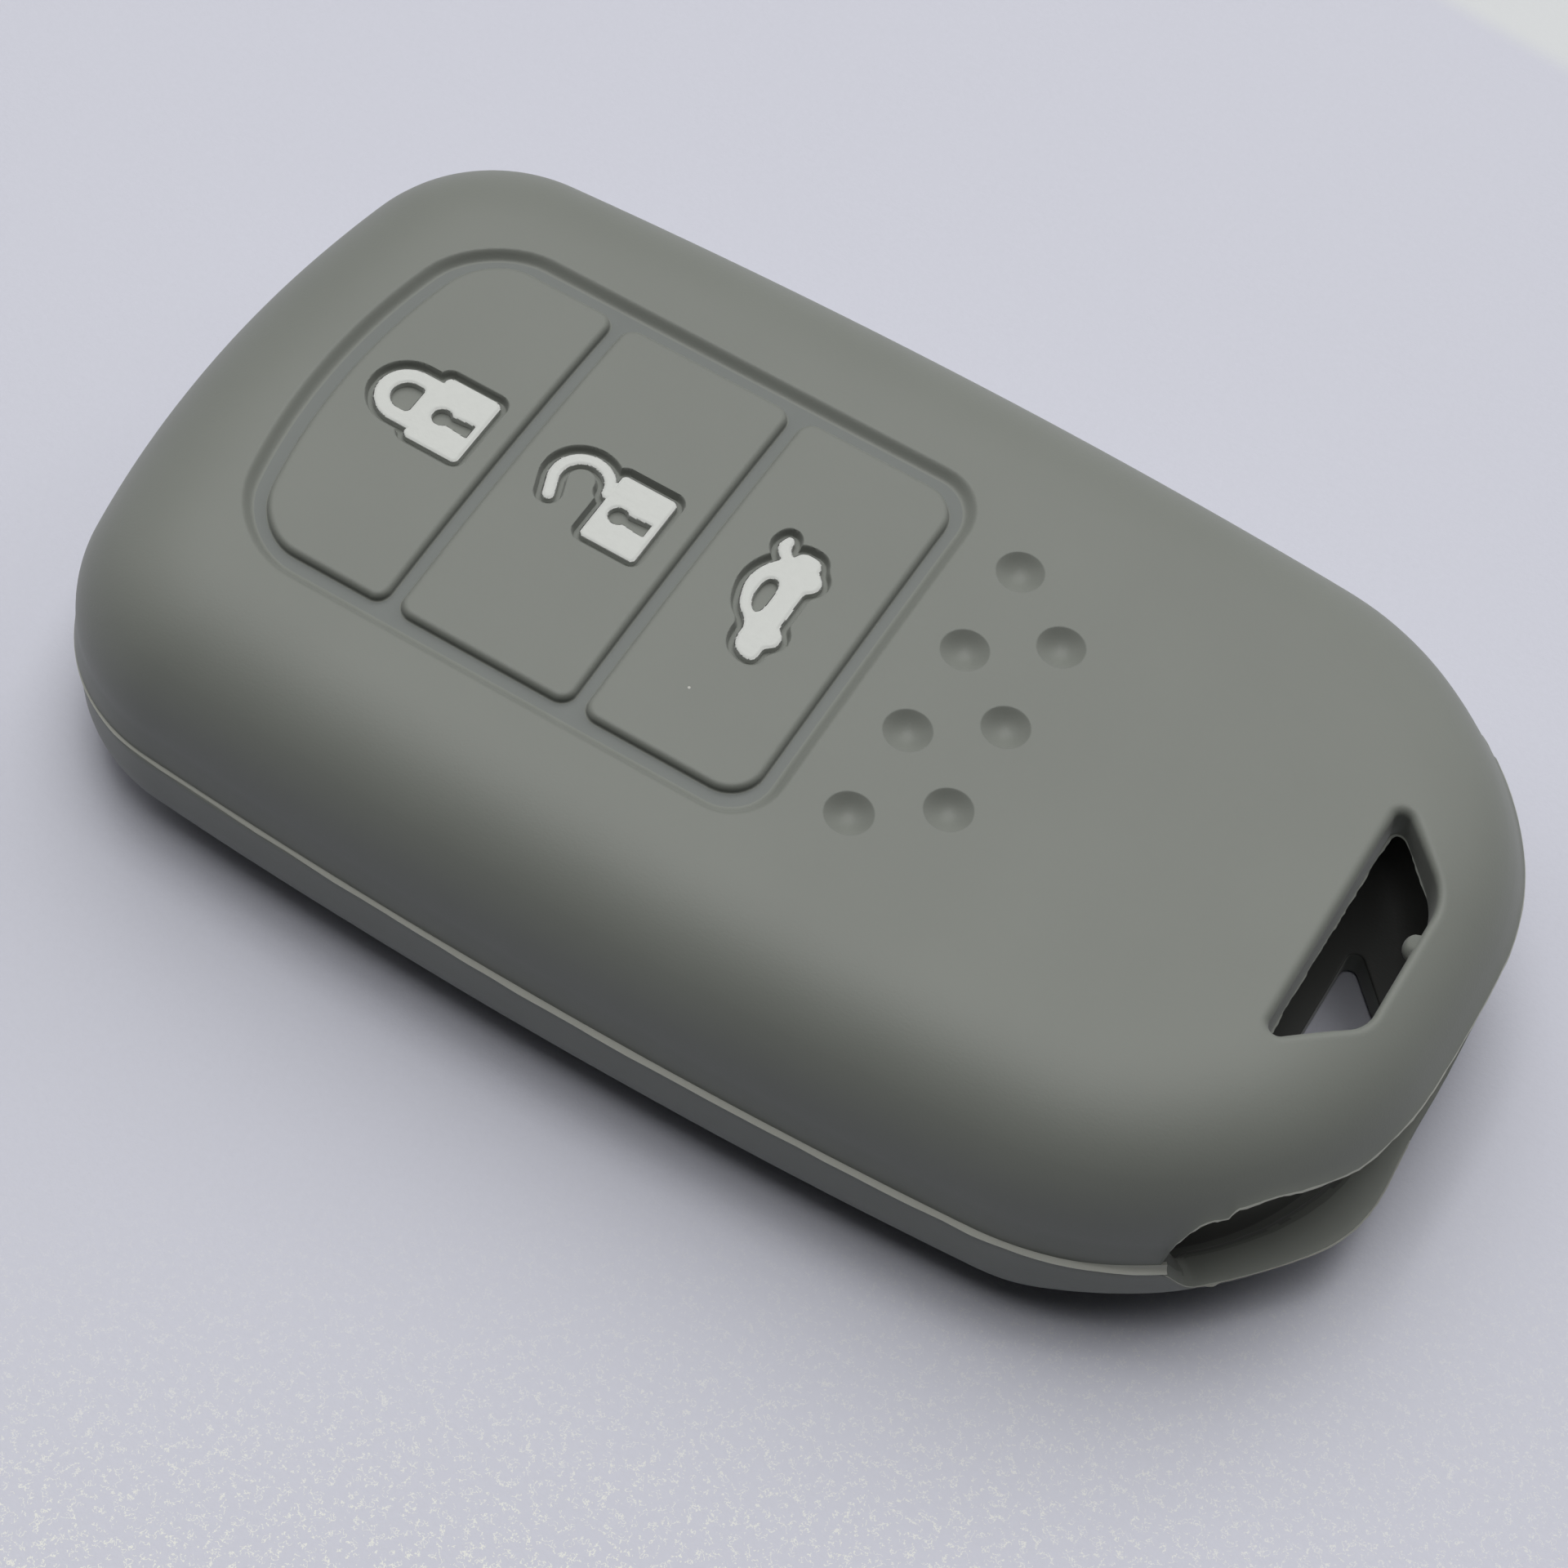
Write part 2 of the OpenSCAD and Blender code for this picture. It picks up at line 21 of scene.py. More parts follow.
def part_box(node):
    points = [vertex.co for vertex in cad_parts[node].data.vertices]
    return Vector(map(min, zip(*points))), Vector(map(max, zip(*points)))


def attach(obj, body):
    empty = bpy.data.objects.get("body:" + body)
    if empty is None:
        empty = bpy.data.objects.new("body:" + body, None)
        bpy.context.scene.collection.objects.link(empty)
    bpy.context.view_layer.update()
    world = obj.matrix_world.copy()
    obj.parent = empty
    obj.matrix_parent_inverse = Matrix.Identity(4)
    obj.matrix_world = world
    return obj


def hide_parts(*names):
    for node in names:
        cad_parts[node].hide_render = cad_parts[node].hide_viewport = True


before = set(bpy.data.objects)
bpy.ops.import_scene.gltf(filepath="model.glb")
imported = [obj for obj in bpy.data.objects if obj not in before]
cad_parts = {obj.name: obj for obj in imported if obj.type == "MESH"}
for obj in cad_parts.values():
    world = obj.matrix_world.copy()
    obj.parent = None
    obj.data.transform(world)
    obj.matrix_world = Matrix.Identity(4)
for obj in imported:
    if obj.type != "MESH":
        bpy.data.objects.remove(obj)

Array = np.ndarray
Surface = Callable[[Array], Array]
Color = tuple[float, float, float, float]
MM = 0.001
WELD = 0.002
TURN = 2 * math.pi
NO_POINTS = np.zeros((0, 2))
LOG = logging.getLogger("cover")
# How high the trimmed lip stands above the parting line, at lengths along the outline from the ring tip
LIP_LINE = [
    (0.0, 4.34), (2.4, 4.3), (4.3, 4.28), (5.6, 4.2), (6.7, 4.16), (7.9, 4.12), (9.0, 4.05), (10.1, 4.0),
    (11.2, 4.2), (13.2, 4.52), (15.0, 4.78), (16.0, 4.7), (17.0, 4.62), (17.3, 4.42), (17.42, 4.14),
    (17.7, 4.1), (18.3, 4.18), (18.9, 3.92), (19.4, 3.4), (19.9, 2.56), (20.12, 1.7), (20.25, 0.8),
    (20.3, 0.4), (20.34, 0.0)]


def frame_box(node: str) -> tuple[Array, Array]:
    """Return the lowest and highest corners of a frame node, in millimetres."""
    low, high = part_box(node)
    return np.array(low) / MM, np.array(high) / MM


def placed(name: str, data: bpy.types.ID, matrix: Matrix | None = None) -> bpy.types.Object:
    """Return a new object of the scene.

    Args:
        name: Its name.
        data: Its mesh, camera or light.
        matrix: Where it stands, if not at the origin.

    Returns:
        The object.
    """
    made = bpy.data.objects.new(name, data)
    if matrix is not None:
        made.matrix_world = matrix
    bpy.context.scene.collection.objects.link(made)
    return made


def unit(angle: Array) -> Array:
    """Return the unit vectors at some angles, one row each."""
    return np.stack([np.cos(angle), np.sin(angle)], axis=-1)


def eased(part: Array) -> Array:
    """Return the smooth step from 0 to 1 of a part along it: three of its square less two of its cube."""
    part = np.clip(part, 0.0, 1.0)
    return part * part * (3 - 2 * part)


def rounding(radius: float, steps: int) -> Array:
    """Return a quarter round in rows: the radius times one less the cosine, and times one less the sine."""
    return radius * (1 - unit(np.linspace(0.0, math.pi / 2, steps + 1)))


def run_along(points: Array) -> Array:
    """Return the length along a line of points, from its first point to each."""
    return np.concatenate([[0.0], np.cumsum(np.linalg.norm(np.diff(points, axis=0), axis=1))])


def grid_of(xs: Array, ys: Array) -> Array:
    """Return the plan points of a grid, by X and then by Y."""
    return np.stack(np.meshgrid(xs, ys, indexing="ij"), axis=-1)


def ragged(places: Array, pitch: float, seed: int) -> Array:
    """Return a rough line from 0 to 1 along some places: random heights a pitch apart, joined straight.

    Args:
        places: Distances along the line.
        pitch: Distance between two random heights.
        seed: Seed of the heights.

    Returns:
        One height for each place.
    """
    knots = np.arange(places.min() - pitch, places.max() + 2 * pitch, pitch)
    heights = np.random.default_rng(seed).random(len(knots))
    return np.interp(places, knots, heights)


@dataclass(frozen=True)
class Tear:
    """A rough line about zero.

    Attributes:
        depth: From its lowest to its highest.
        pitch: Distance between two random heights.
        seed: Seed of the heights.
    """

    depth: float
    pitch: float
    seed: int

    def at(self, places: Array) -> Array:
        """Return the line at some places."""
        return self.depth * (ragged(places, self.pitch, self.seed) - 0.5)


@dataclass(frozen=True)
class Bell:
    """A soft swelling along a line.

    It is its height times the exponential of minus the square of the distance from its middle over its spread.

    Attributes:
        height: Its height.
        middle: Where it is highest.
        spread: Distance at which it has fallen to about a third.
    """

    height: float
    middle: float
    spread: float

    def at(self, places: Array) -> Array:
        """Return the swelling at some places."""
        return self.height * np.exp(-((places - self.middle) / self.spread) ** 2)


@dataclass(frozen=True)
class Settling:
    """How the soft part lies: the far corner of the ring end is a little rounder.

    Attributes:
        bell: How far the corner lies in along X, over Y.
        start: X where that begins.
        run: Length over which it grows to its whole.
    """

    bell: Bell = Bell(0.55, 17.0, 4.0)
    start: float = 18.0
    run: float = 8.0

    def of(self, points: Array) -> Array:
        """Return points moved in along X by the bell over Y times a smooth step over X."""
        way = self.bell.at(points[:, 1]) * eased((points[:, 0] - self.start) / self.run)
        return points - way[:, None] * [1.0, 0.0, 0.0]


class Form:
    """The patches of one piece, welded into one mesh where their borders meet."""

    def __init__(self) -> None:
        """Start with no patch."""
        self.points: list[Array] = []
        self.faces: list[Array] = []
        self.count = 0

    def add(self, points: Array, faces: Array) -> None:
        """Add a patch.

        Args:
            points: Its points, one row each.
            faces: Its faces, rows of three or four places among its points.
        """
        self.points.append(points)
        self.faces.append(faces + self.count)
        self.count += len(points)

    def strip(self, rings: Sequence[Array], closed: bool = True) -> None:
        """Add the surface through rings of equal counts.

        Seen along the rings' own order, a ring runs counter-clockwise as it climbs the outside, goes inward
        over the top and comes down the inside of a hole.

        Args:
            rings: The rings, each an array of points.
            closed: Whether a ring's last point joins its first.
        """
        grid = np.stack(rings)
        rows, columns = grid.shape[:2]
        index = np.arange(rows * columns).reshape(rows, columns)
        after = np.roll(index, -1, axis=1)
        if not closed:
            index, after = index[:, :-1], after[:, :-1]
        faces = np.stack([index[:-1], after[:-1], after[1:], index[1:]], axis=-1)
        self.add(grid.reshape(-1, 3), faces.reshape(-1, 4))

    def sheet(self, border: Array, holes: Sequence[Array], inner: Array, height: Surface,
              down: bool = False) -> None:
        """Add a surface over a plan region: its triangles in plan are lifted by a height for each point.

        Args:
            border: The region's outer loop, in plan.
            holes: The loops of its holes, in plan.
            inner: Points within it, in plan.
            height: Gives the height of each plan point.
            down: Whether the surface faces down.
        """
        loops = [border, *holes]
        plan = np.concatenate([*loops, inner[within(inner, border, holes)]])
        starts = np.cumsum([0] + [len(loop) for loop in loops])
        edges = np.concatenate([
            np.stack([np.arange(len(loop)), np.roll(np.arange(len(loop)), -1)], axis=1) + start
            for loop, start in zip(loops, starts)])
        slack = 1e-7
        verts, _, tris, *_ = delaunay_2d_cdt([tuple(p) for p in plan], edges.tolist(), [], 0, slack)
        verts, tris = np.array([tuple(v) for v in verts]), np.array(tris)
        tris = tris[within(verts[tris].mean(axis=1), border, holes)]
        if down:
            tris = tris[:, ::-1]
        self.add(np.column_stack([verts, height(verts)]), tris)

    def mesh(self, name: str, crease: float = 50.0, outward: bool = False) -> bpy.types.Object:
        """Make the piece: its patches in metres, welded, smooth up to a crease angle.

        Args:
            name: Name of the piece.
            crease: Angle in degrees past which an edge is sharp.
            outward: Whether its faces are turned outward here, where their order doesn't tell.

        Returns:
            The new object, at the origin.
        """
        data = bpy.data.meshes.new(name)
        points = Settling().of(np.concatenate(self.points)) * MM
        faces = [row for block in self.faces for row in block.tolist()]
        data.from_pydata(points.tolist(), [], faces)
        work = bmesh.new()
        work.from_mesh(data)
        bmesh.ops.remove_doubles(work, verts=work.verts, dist=WELD * MM)
        bmesh.ops.dissolve_degenerate(work, edges=work.edges, dist=WELD * MM / 10)
        if outward:
            bmesh.ops.recalc_face_normals(work, faces=work.faces)
        work.to_mesh(data)
        work.free()
        data.polygons.foreach_set("use_smooth", np.ones(len(data.polygons), dtype=bool))
        data.set_sharp_from_angle(angle=math.radians(crease))
        data.validate()
        return placed(name, data)


def inside(points: Array, loop: Array) -> Array:
    """Tell which points lie inside a loop: a ray from such a point crosses the loop an odd number of times.

    Args:
        points: Plan points.
        loop: A closed loop of plan points.

    Returns:
        One truth value for each point.
    """
    result = np.zeros(len(points), dtype=bool)
    near = np.all((points > loop.min(axis=0)) & (points < loop.max(axis=0)), axis=1)
    x, y = points[near, 0][:, None], points[near, 1][:, None]
    a, b = loop, np.roll(loop, -1, axis=0)
    spans = (a[:, 1] > y) != (b[:, 1] > y)
    rise = np.where(b[:, 1] == a[:, 1], 1.0, b[:, 1] - a[:, 1])
    meets = a[:, 0] + (y - a[:, 1]) / rise * (b[:, 0] - a[:, 0])
    result[near] = np.sum(spans & (meets > x), axis=1) % 2 == 1
    return result


def within(points: Array, border: Array, holes: Sequence[Array]) -> Array:
    """Tell which points lie inside a border and outside its holes."""
    return inside(points, border) & ~np.any([inside(points, hole) for hole in holes], axis=0)


def reach_to(points: Array, starts: Array, ends: Array) -> Array:
    """Return each point's least distance to some straight sides.

    The nearest place of a side is the way to the point, projected on it and held between its ends.

    Args:
        points: Plan points.
        starts: Where the sides start.
        ends: Where they end.

    Returns:
        One distance for each point.
    """
    sides = ends - starts
    way = points[:, None, :] - starts
    part = np.clip((way * sides).sum(-1) / (sides ** 2).sum(-1), 0.0, 1.0)
    return np.linalg.norm(way - sides * part[..., None], axis=-1).min(axis=1)


def corner(before: Array, at: Array, after: Array, radius: float, steps: int) -> Array:
    """Return the arc of a radius that touches both sides of a corner.

    Its centre lies on the bisector, at the radius over the sine of half the corner's angle.

    Args:
        before: The point before the corner.
        at: The corner.
        after: The point after it.
        radius: Radius of the arc.
        steps: Steps of the arc.

    Returns:
        The arc's points.
    """
    u = (before - at) / np.linalg.norm(before - at)
    v = (after - at) / np.linalg.norm(after - at)
    half = math.acos(float(u @ v)) / 2
    centre = at + (u + v) / np.linalg.norm(u + v) * radius / math.sin(half)
    middle = math.atan2(at[1] - centre[1], at[0] - centre[0])
    side = -1.0 if u[0] * v[1] - u[1] * v[0] > 0 else 1.0
    turn = (math.pi / 2 - half) * side
    return centre + radius * unit(middle + turn * np.linspace(-1.0, 1.0, steps + 1))


def softened(loop: Array, rounds: int = 3) -> Array:
    """Return a loop with its corners cut: each round puts points at a quarter and three quarters of each side.

    Args:
        loop: A closed loop of plan points.
        rounds: How many times.

    Returns:
        The smoother loop.
    """
    more, less = 0.75, 0.25
    for _ in range(rounds):
        after = np.roll(loop, -1, axis=0)
        loop = np.stack([loop * more + after * less, loop * less + after * more], axis=1).reshape(-1, 2)
    return loop


def between(start: Array, end: Array, steps: int) -> Array:
    """Return the points strictly between two points, equally spaced."""
    part = np.arange(1, steps)[:, None] / steps
    return start + (end - start) * part


@dataclass(frozen=True)
class Outline:
    """A half's outline in plan: tangent arcs for each end, corner and side.

    Attributes:
        blind_tip: X of the blind tip.
        ring_tip: X of the ring-end tip.
        half_w: Half width at the widest place.
        apex_x: X of the widest place.
        blind_corner_r: Radius of the corners at the blind end.
        ring_corner_r: Radius of the corners at the ring end.
        blind_end_r: Radius of the blind end.
        ring_end_r: Radius of the ring end.
        blind_side_r: Radius of the sides toward the blind end.
        ring_side_r: Radius of the sides toward the ring end.
        samples: Points among which the length to an X is looked up.
    """

    blind_tip: float
    ring_tip: float
    half_w: float
    apex_x: float
    blind_corner_r: float
    ring_corner_r: float
    blind_end_r: float = 64.8
    ring_end_r: float = 73.2
    blind_side_r: float = 371.0
    ring_side_r: float = 328.0
    samples: int = 4001

    def quarter(self, way: int) -> list[tuple[float, float, float, float, float]]:
        """Return a far quarter's arcs, from the tip to the side.

        The corner's centre is where circles about the end's and the side's centres cross, each smaller than
        its arc by the corner's radius.

        Args:
            way: 1 at the ring end, -1 at the blind end.

        Returns:
            For each arc its centre's X and Y, radius, and first and last angle.
        """
        tip, end_r, side_r, corner_r, tip_turn = (
            (self.ring_tip, self.ring_end_r, self.ring_side_r, self.ring_corner_r, 0.0) if way > 0 else
            (self.blind_tip, self.blind_end_r, self.blind_side_r, self.blind_corner_r, math.pi))
        end_c = np.array([tip - way * end_r, 0.0])
        side_c = np.array([self.apex_x, self.half_w - side_r])
        link = side_c - end_c
        span = np.linalg.norm(link)
        along = ((end_r - corner_r) ** 2 - (side_r - corner_r) ** 2 + span ** 2) / (2 * span)
        across = math.sqrt((end_r - corner_r) ** 2 - along ** 2)
        square = np.array([-link[1], link[0]]) / span
        corner_c = end_c + link * along / span + square * across * way
        first = math.atan2(corner_c[1] - end_c[1], corner_c[0] - end_c[0])
        second = math.atan2(corner_c[1] - side_c[1], corner_c[0] - side_c[0])
        return [(*end_c, end_r, tip_turn, first), (*corner_c, corner_r, first, second),
                (*side_c, side_r, second, math.pi / 2)]

    def arcs(self) -> Array:
        """Return every arc counter-clockwise from the ring tip.

        Returns:
            Rows of centre X, centre Y, radius, first angle and last angle.
        """
        ring = self.quarter(1)
        blind = [(x, y, r, b, a) for x, y, r, a, b in reversed(self.quarter(-1))]
        far = ring + blind
        near = [(x, -y, r, TURN - b, TURN - a) for x, y, r, a, b in reversed(far)]
        return np.array(far + near)

    def lengths(self) -> Array:
        """Return the arcs' lengths: radius times angle."""
        arcs = self.arcs()
        return arcs[:, 2] * (arcs[:, 4] - arcs[:, 3])

    def half_length(self) -> float:
        """Return the length of the far half of the outline."""
        return float(np.sum(self.lengths())) / 2

    def length_to(self, x: float) -> float:
        """Return the length along the far side from the ring tip to the first point at an X."""
        places = np.linspace(0.0, self.half_length(), self.samples)
        return float(np.interp(-x, -self.at(places)[0][:, 0], places))

    def at(self, places: Array) -> tuple[Array, Array]:
        """Return places of the outline: an arc's centre plus its radius times the unit vector at the angle.

        Args:
            places: Lengths along the outline from the ring tip.

        Returns:
            The points, and their outward normals.
        """
        arcs = self.arcs()
        ends = np.cumsum(self.lengths())
        which = np.clip(np.searchsorted(ends, places), 0, len(arcs) - 1)
        chosen = arcs[which]
        start = np.concatenate([[0.0], ends])[which]
        normal = unit(chosen[:, 3] + (places - start) / chosen[:, 2])
        return chosen[:, :2] + chosen[:, 2:3] * normal, normal

    def reach_of(self, points: Array) -> tuple[Array, Array]:
        """Return how far inside the outline each point lies, and where the outline is nearest to it.

        The first is the least of the arcs' radii less the point's distance from the arc's centre, over the
        arcs whose sector holds it.

        Args:
            points: Plan points.

        Returns:
            The insets, and the X of the outline's nearest points.
        """
        arcs = self.arcs()
        way = points[:, None, :] - arcs[None, :, :2]
        angle = np.mod(np.arctan2(way[..., 1], way[..., 0]), TURN)
        slack = 1e-6
        held = (angle >= arcs[:, 3] - slack) & (angle <= arcs[:, 4] + slack)
        held |= angle - TURN >= arcs[:, 3] - slack
        length = np.linalg.norm(way, axis=-1)
        gap = np.where(held, arcs[:, 2] - length, np.inf)
        which = gap.argmin(axis=1)
        row = np.arange(len(points))
        foot = arcs[which, 0] + way[row, which, 0] / length[row, which] * arcs[which, 2]
        return gap[row, which], foot

    def inset_of(self, points: Array) -> Array:
        """Return how far inside the outline each point lies."""
        return self.reach_of(points)[0]


@dataclass(frozen=True)
class Columns:
    """Places along an outline where the walls have their columns, denser at the opening's corners.

    Attributes:
        mouth_x: X where the open end starts.
        coarse: Widest spacing of the columns.
        fine: Spacing at the opening's corners.
        growth: How much wider each step is than the one before.
    """

    mouth_x: float
    coarse: float = 0.4
    fine: float = 0.03
    growth: float = 1.05

    def graded(self, length: float) -> Array:
        """Return places along a length whose steps grow from the first.

        Args:
            length: The length.

        Returns:
            Shares of it from 0 to 1.
        """
        growing = math.ceil(math.log(self.coarse / self.fine, self.growth))
        count = int(length / self.coarse) + growing
        steps = np.minimum(self.fine * self.growth ** np.arange(count), self.coarse)
        places = np.concatenate([[0.0], np.cumsum(steps)])
        places = places[places < length]
        return places / places[-1]

    def of(self, outline: Outline, guide: Outline) -> tuple[Array, Array]:
        """Return an outline's points and normals at the columns, as many as on the guide.

        Args:
            outline: The outline.
            guide: The outline whose lengths set the count.

        Returns:
            Points and outward normals, from the ring tip round.
        """
        guide_mouth = guide.length_to(self.mouth_x)
        open_part = self.graded(guide_mouth)
        wall_part = self.graded(guide.half_length() - guide_mouth)
        mouth, half = outline.length_to(self.mouth_x), outline.half_length()
        far = np.concatenate([mouth * (1 - open_part[::-1]), mouth + (half - mouth) * wall_part[1:]])
        points, normals = outline.at(far)
        flip = np.array([1.0, -1.0])
        return (np.concatenate([points, points[-2:0:-1] * flip]),
                np.concatenate([normals, normals[-2:0:-1] * flip]))


@dataclass(frozen=True)
class Bar:
    """A bar across the cover with rounded corners and bowed ends: the window, or a pad.

    Attributes:
        x0: X of the edge toward the blind end.
        x1: X of the edge toward the ring end.
        half_w: Half of its width.
        r0: Radius of the corners toward the blind end.
        r1: Radius of the corners toward the ring end.
        bow0: Radius of the bow of the first edge.
        bow1: Radius of the bow of the second edge.
        corner_steps: Steps of a corner.
        long_steps: Steps of a long edge.
        end_steps: Steps of an end.
    """

    x0: float
    x1: float
    half_w: float
    r0: float
    r1: float
    bow0: float
    bow1: float
    corner_steps: int = 10
    long_steps: int = 44
    end_steps: int = 18

    def loop(self, inset: float = 0.0) -> Array:
        """Return the bar's outline moved inward.

        A rounded rectangle whose points shift along X by the bow of each edge, the radius less the root of
        its square less the point's Y squared, in proportion to how near the edge is.

        Args:
            inset: How far inward, or outward where negative.

        Returns:
            Plan points, counter-clockwise.
        """
        x0, x1, w = self.x0 + inset, self.x1 - inset, self.half_w - inset
        r0, r1 = self.r0 - inset, self.r1 - inset
        low1, high1, high0, low0 = (np.array(p) for p in ((x1, -w), (x1, w), (x0, w), (x0, -w)))
        along, side = np.array([1.0, 0.0]), np.array([0.0, 1.0])
        corner_n, long_n, end_n = self.corner_steps, self.long_steps, self.end_steps
        flat = np.concatenate([
            corner(low0, low1, high1, r1, corner_n),
            between(low1 + side * r1, high1 - side * r1, long_n),
            corner(low1, high1, high0, r1, corner_n),
            between(high1 - along * r1, high0 + along * r0, end_n),
            corner(high1, high0, low0, r0, corner_n),
            between(high0 - side * r0, low0 + side * r0, long_n),
            corner(high0, low0, low1, r0, corner_n),
            between(low0 + along * r0, low1 - along * r1, end_n)])
        part = (flat[:, 0] - x0) / (x1 - x0)
        bow0, bow1 = (bow - np.sqrt(bow ** 2 - flat[:, 1] ** 2) for bow in (self.bow0, self.bow1))
        return flat + (bow0 * (1 - part) + bow1 * part)[:, None] * along


@dataclass(frozen=True)
class Trapezoid:
    """The key-ring slot in plan.

    Attributes:
        x0: X of the long side.
        x1: X of the short side.
        long: Length of the long side before rounding.
        short: Length of the short side.
        middle: Y of its middle.
        radii: Radii of its corners, counter-clockwise from the near end of the short side.
        corner_steps: Steps of a corner.
        side_steps: Steps of its sides, from the short side round.
    """

    x0: float
    x1: float
    long: float = 16.2
    short: float = 8.7
    middle: float = -0.5
    radii: tuple[float, float, float, float] = (2.2, 3.0, 0.5, 0.5)
    corner_steps: int = 16
    side_steps: tuple[int, int, int, int] = (60, 24, 90, 24)

    def loop(self, grow: float = 0.0) -> Array:
        """Return the slot's outline with its sides moved outward and its corners rounded by as much more.

        Args:
            grow: How far the sides move outward.

        Returns:
            Plan points, counter-clockwise.
        """
        slope = (self.long - self.short) / 2 / (self.x1 - self.x0)
        lean = math.sqrt(1 + slope ** 2)
        x0, x1 = self.x0 - grow, self.x1 + grow
        half0 = self.long / 2 + grow * (lean + slope)
        half1 = self.short / 2 + grow * (lean - slope)
        corners = np.array([[x1, self.middle - half1], [x1, self.middle + half1],
                            [x0, self.middle + half0], [x0, self.middle - half0]])
        arcs = [corner(before, at, after, radius + grow, self.corner_steps) for before, at, after, radius
                in zip(np.roll(corners, 1, axis=0), corners, np.roll(corners, -1, axis=0), self.radii)]
        return np.concatenate([
            part for i, (arc, steps) in enumerate(zip(arcs, self.side_steps))
            for part in (arc, between(arc[-1], arcs[(i + 1) % 4][0], steps))])


@dataclass(frozen=True)
class Arch:
    """A quarter of a superellipse over the inset that ends in a flat.

    Both shares of its width and height, each to the power, add up to one.

    Attributes:
        reach: Inset where it starts.
        run: Its width.
        base: Height where it starts.
        rise: Its height, negative where it goes down.
        power: Its power, 2 for a plain ellipse.
    """

    reach: float
    run: float
    base: float
    rise: float
    power: float = 2.0

    def height(self, inset: Array) -> Array:
        """Return the heights over some insets."""
        part = np.clip(1 - (inset - self.reach) / self.run, 0.0, 1.0)
        return self.base + self.rise * (1 - part ** self.power) ** (1 / self.power)

    def inset(self, height: Array | float) -> Array:
        """Return the insets at some heights."""
        part = np.clip((height - self.base) / self.rise, 0.0, 1.0)
        return self.reach + self.run * (1 - (1 - part ** self.power) ** (1 / self.power))

    def insets(self, start: float, steps: int) -> Array:
        """Return insets at even turns from a height, itself left out, to the flat."""
        turns = np.linspace(math.asin((start - self.base) / self.rise), math.pi / 2, steps)[1:]
        return self.reach + self.run * (1 - np.cos(turns))


@dataclass(frozen=True)
class SlotCut:
    """How the key-ring slot passes through one wall.

    Attributes:
        rim: Radius of its upper rim.
        foot: Radius of its lower rim.
        leans: How far its long side lies in at the top and at the bottom.
        nub: Whether the nub stands on its short side.
    """

    rim: float
    foot: float
    leans: tuple[float, float]
    nub: bool = False


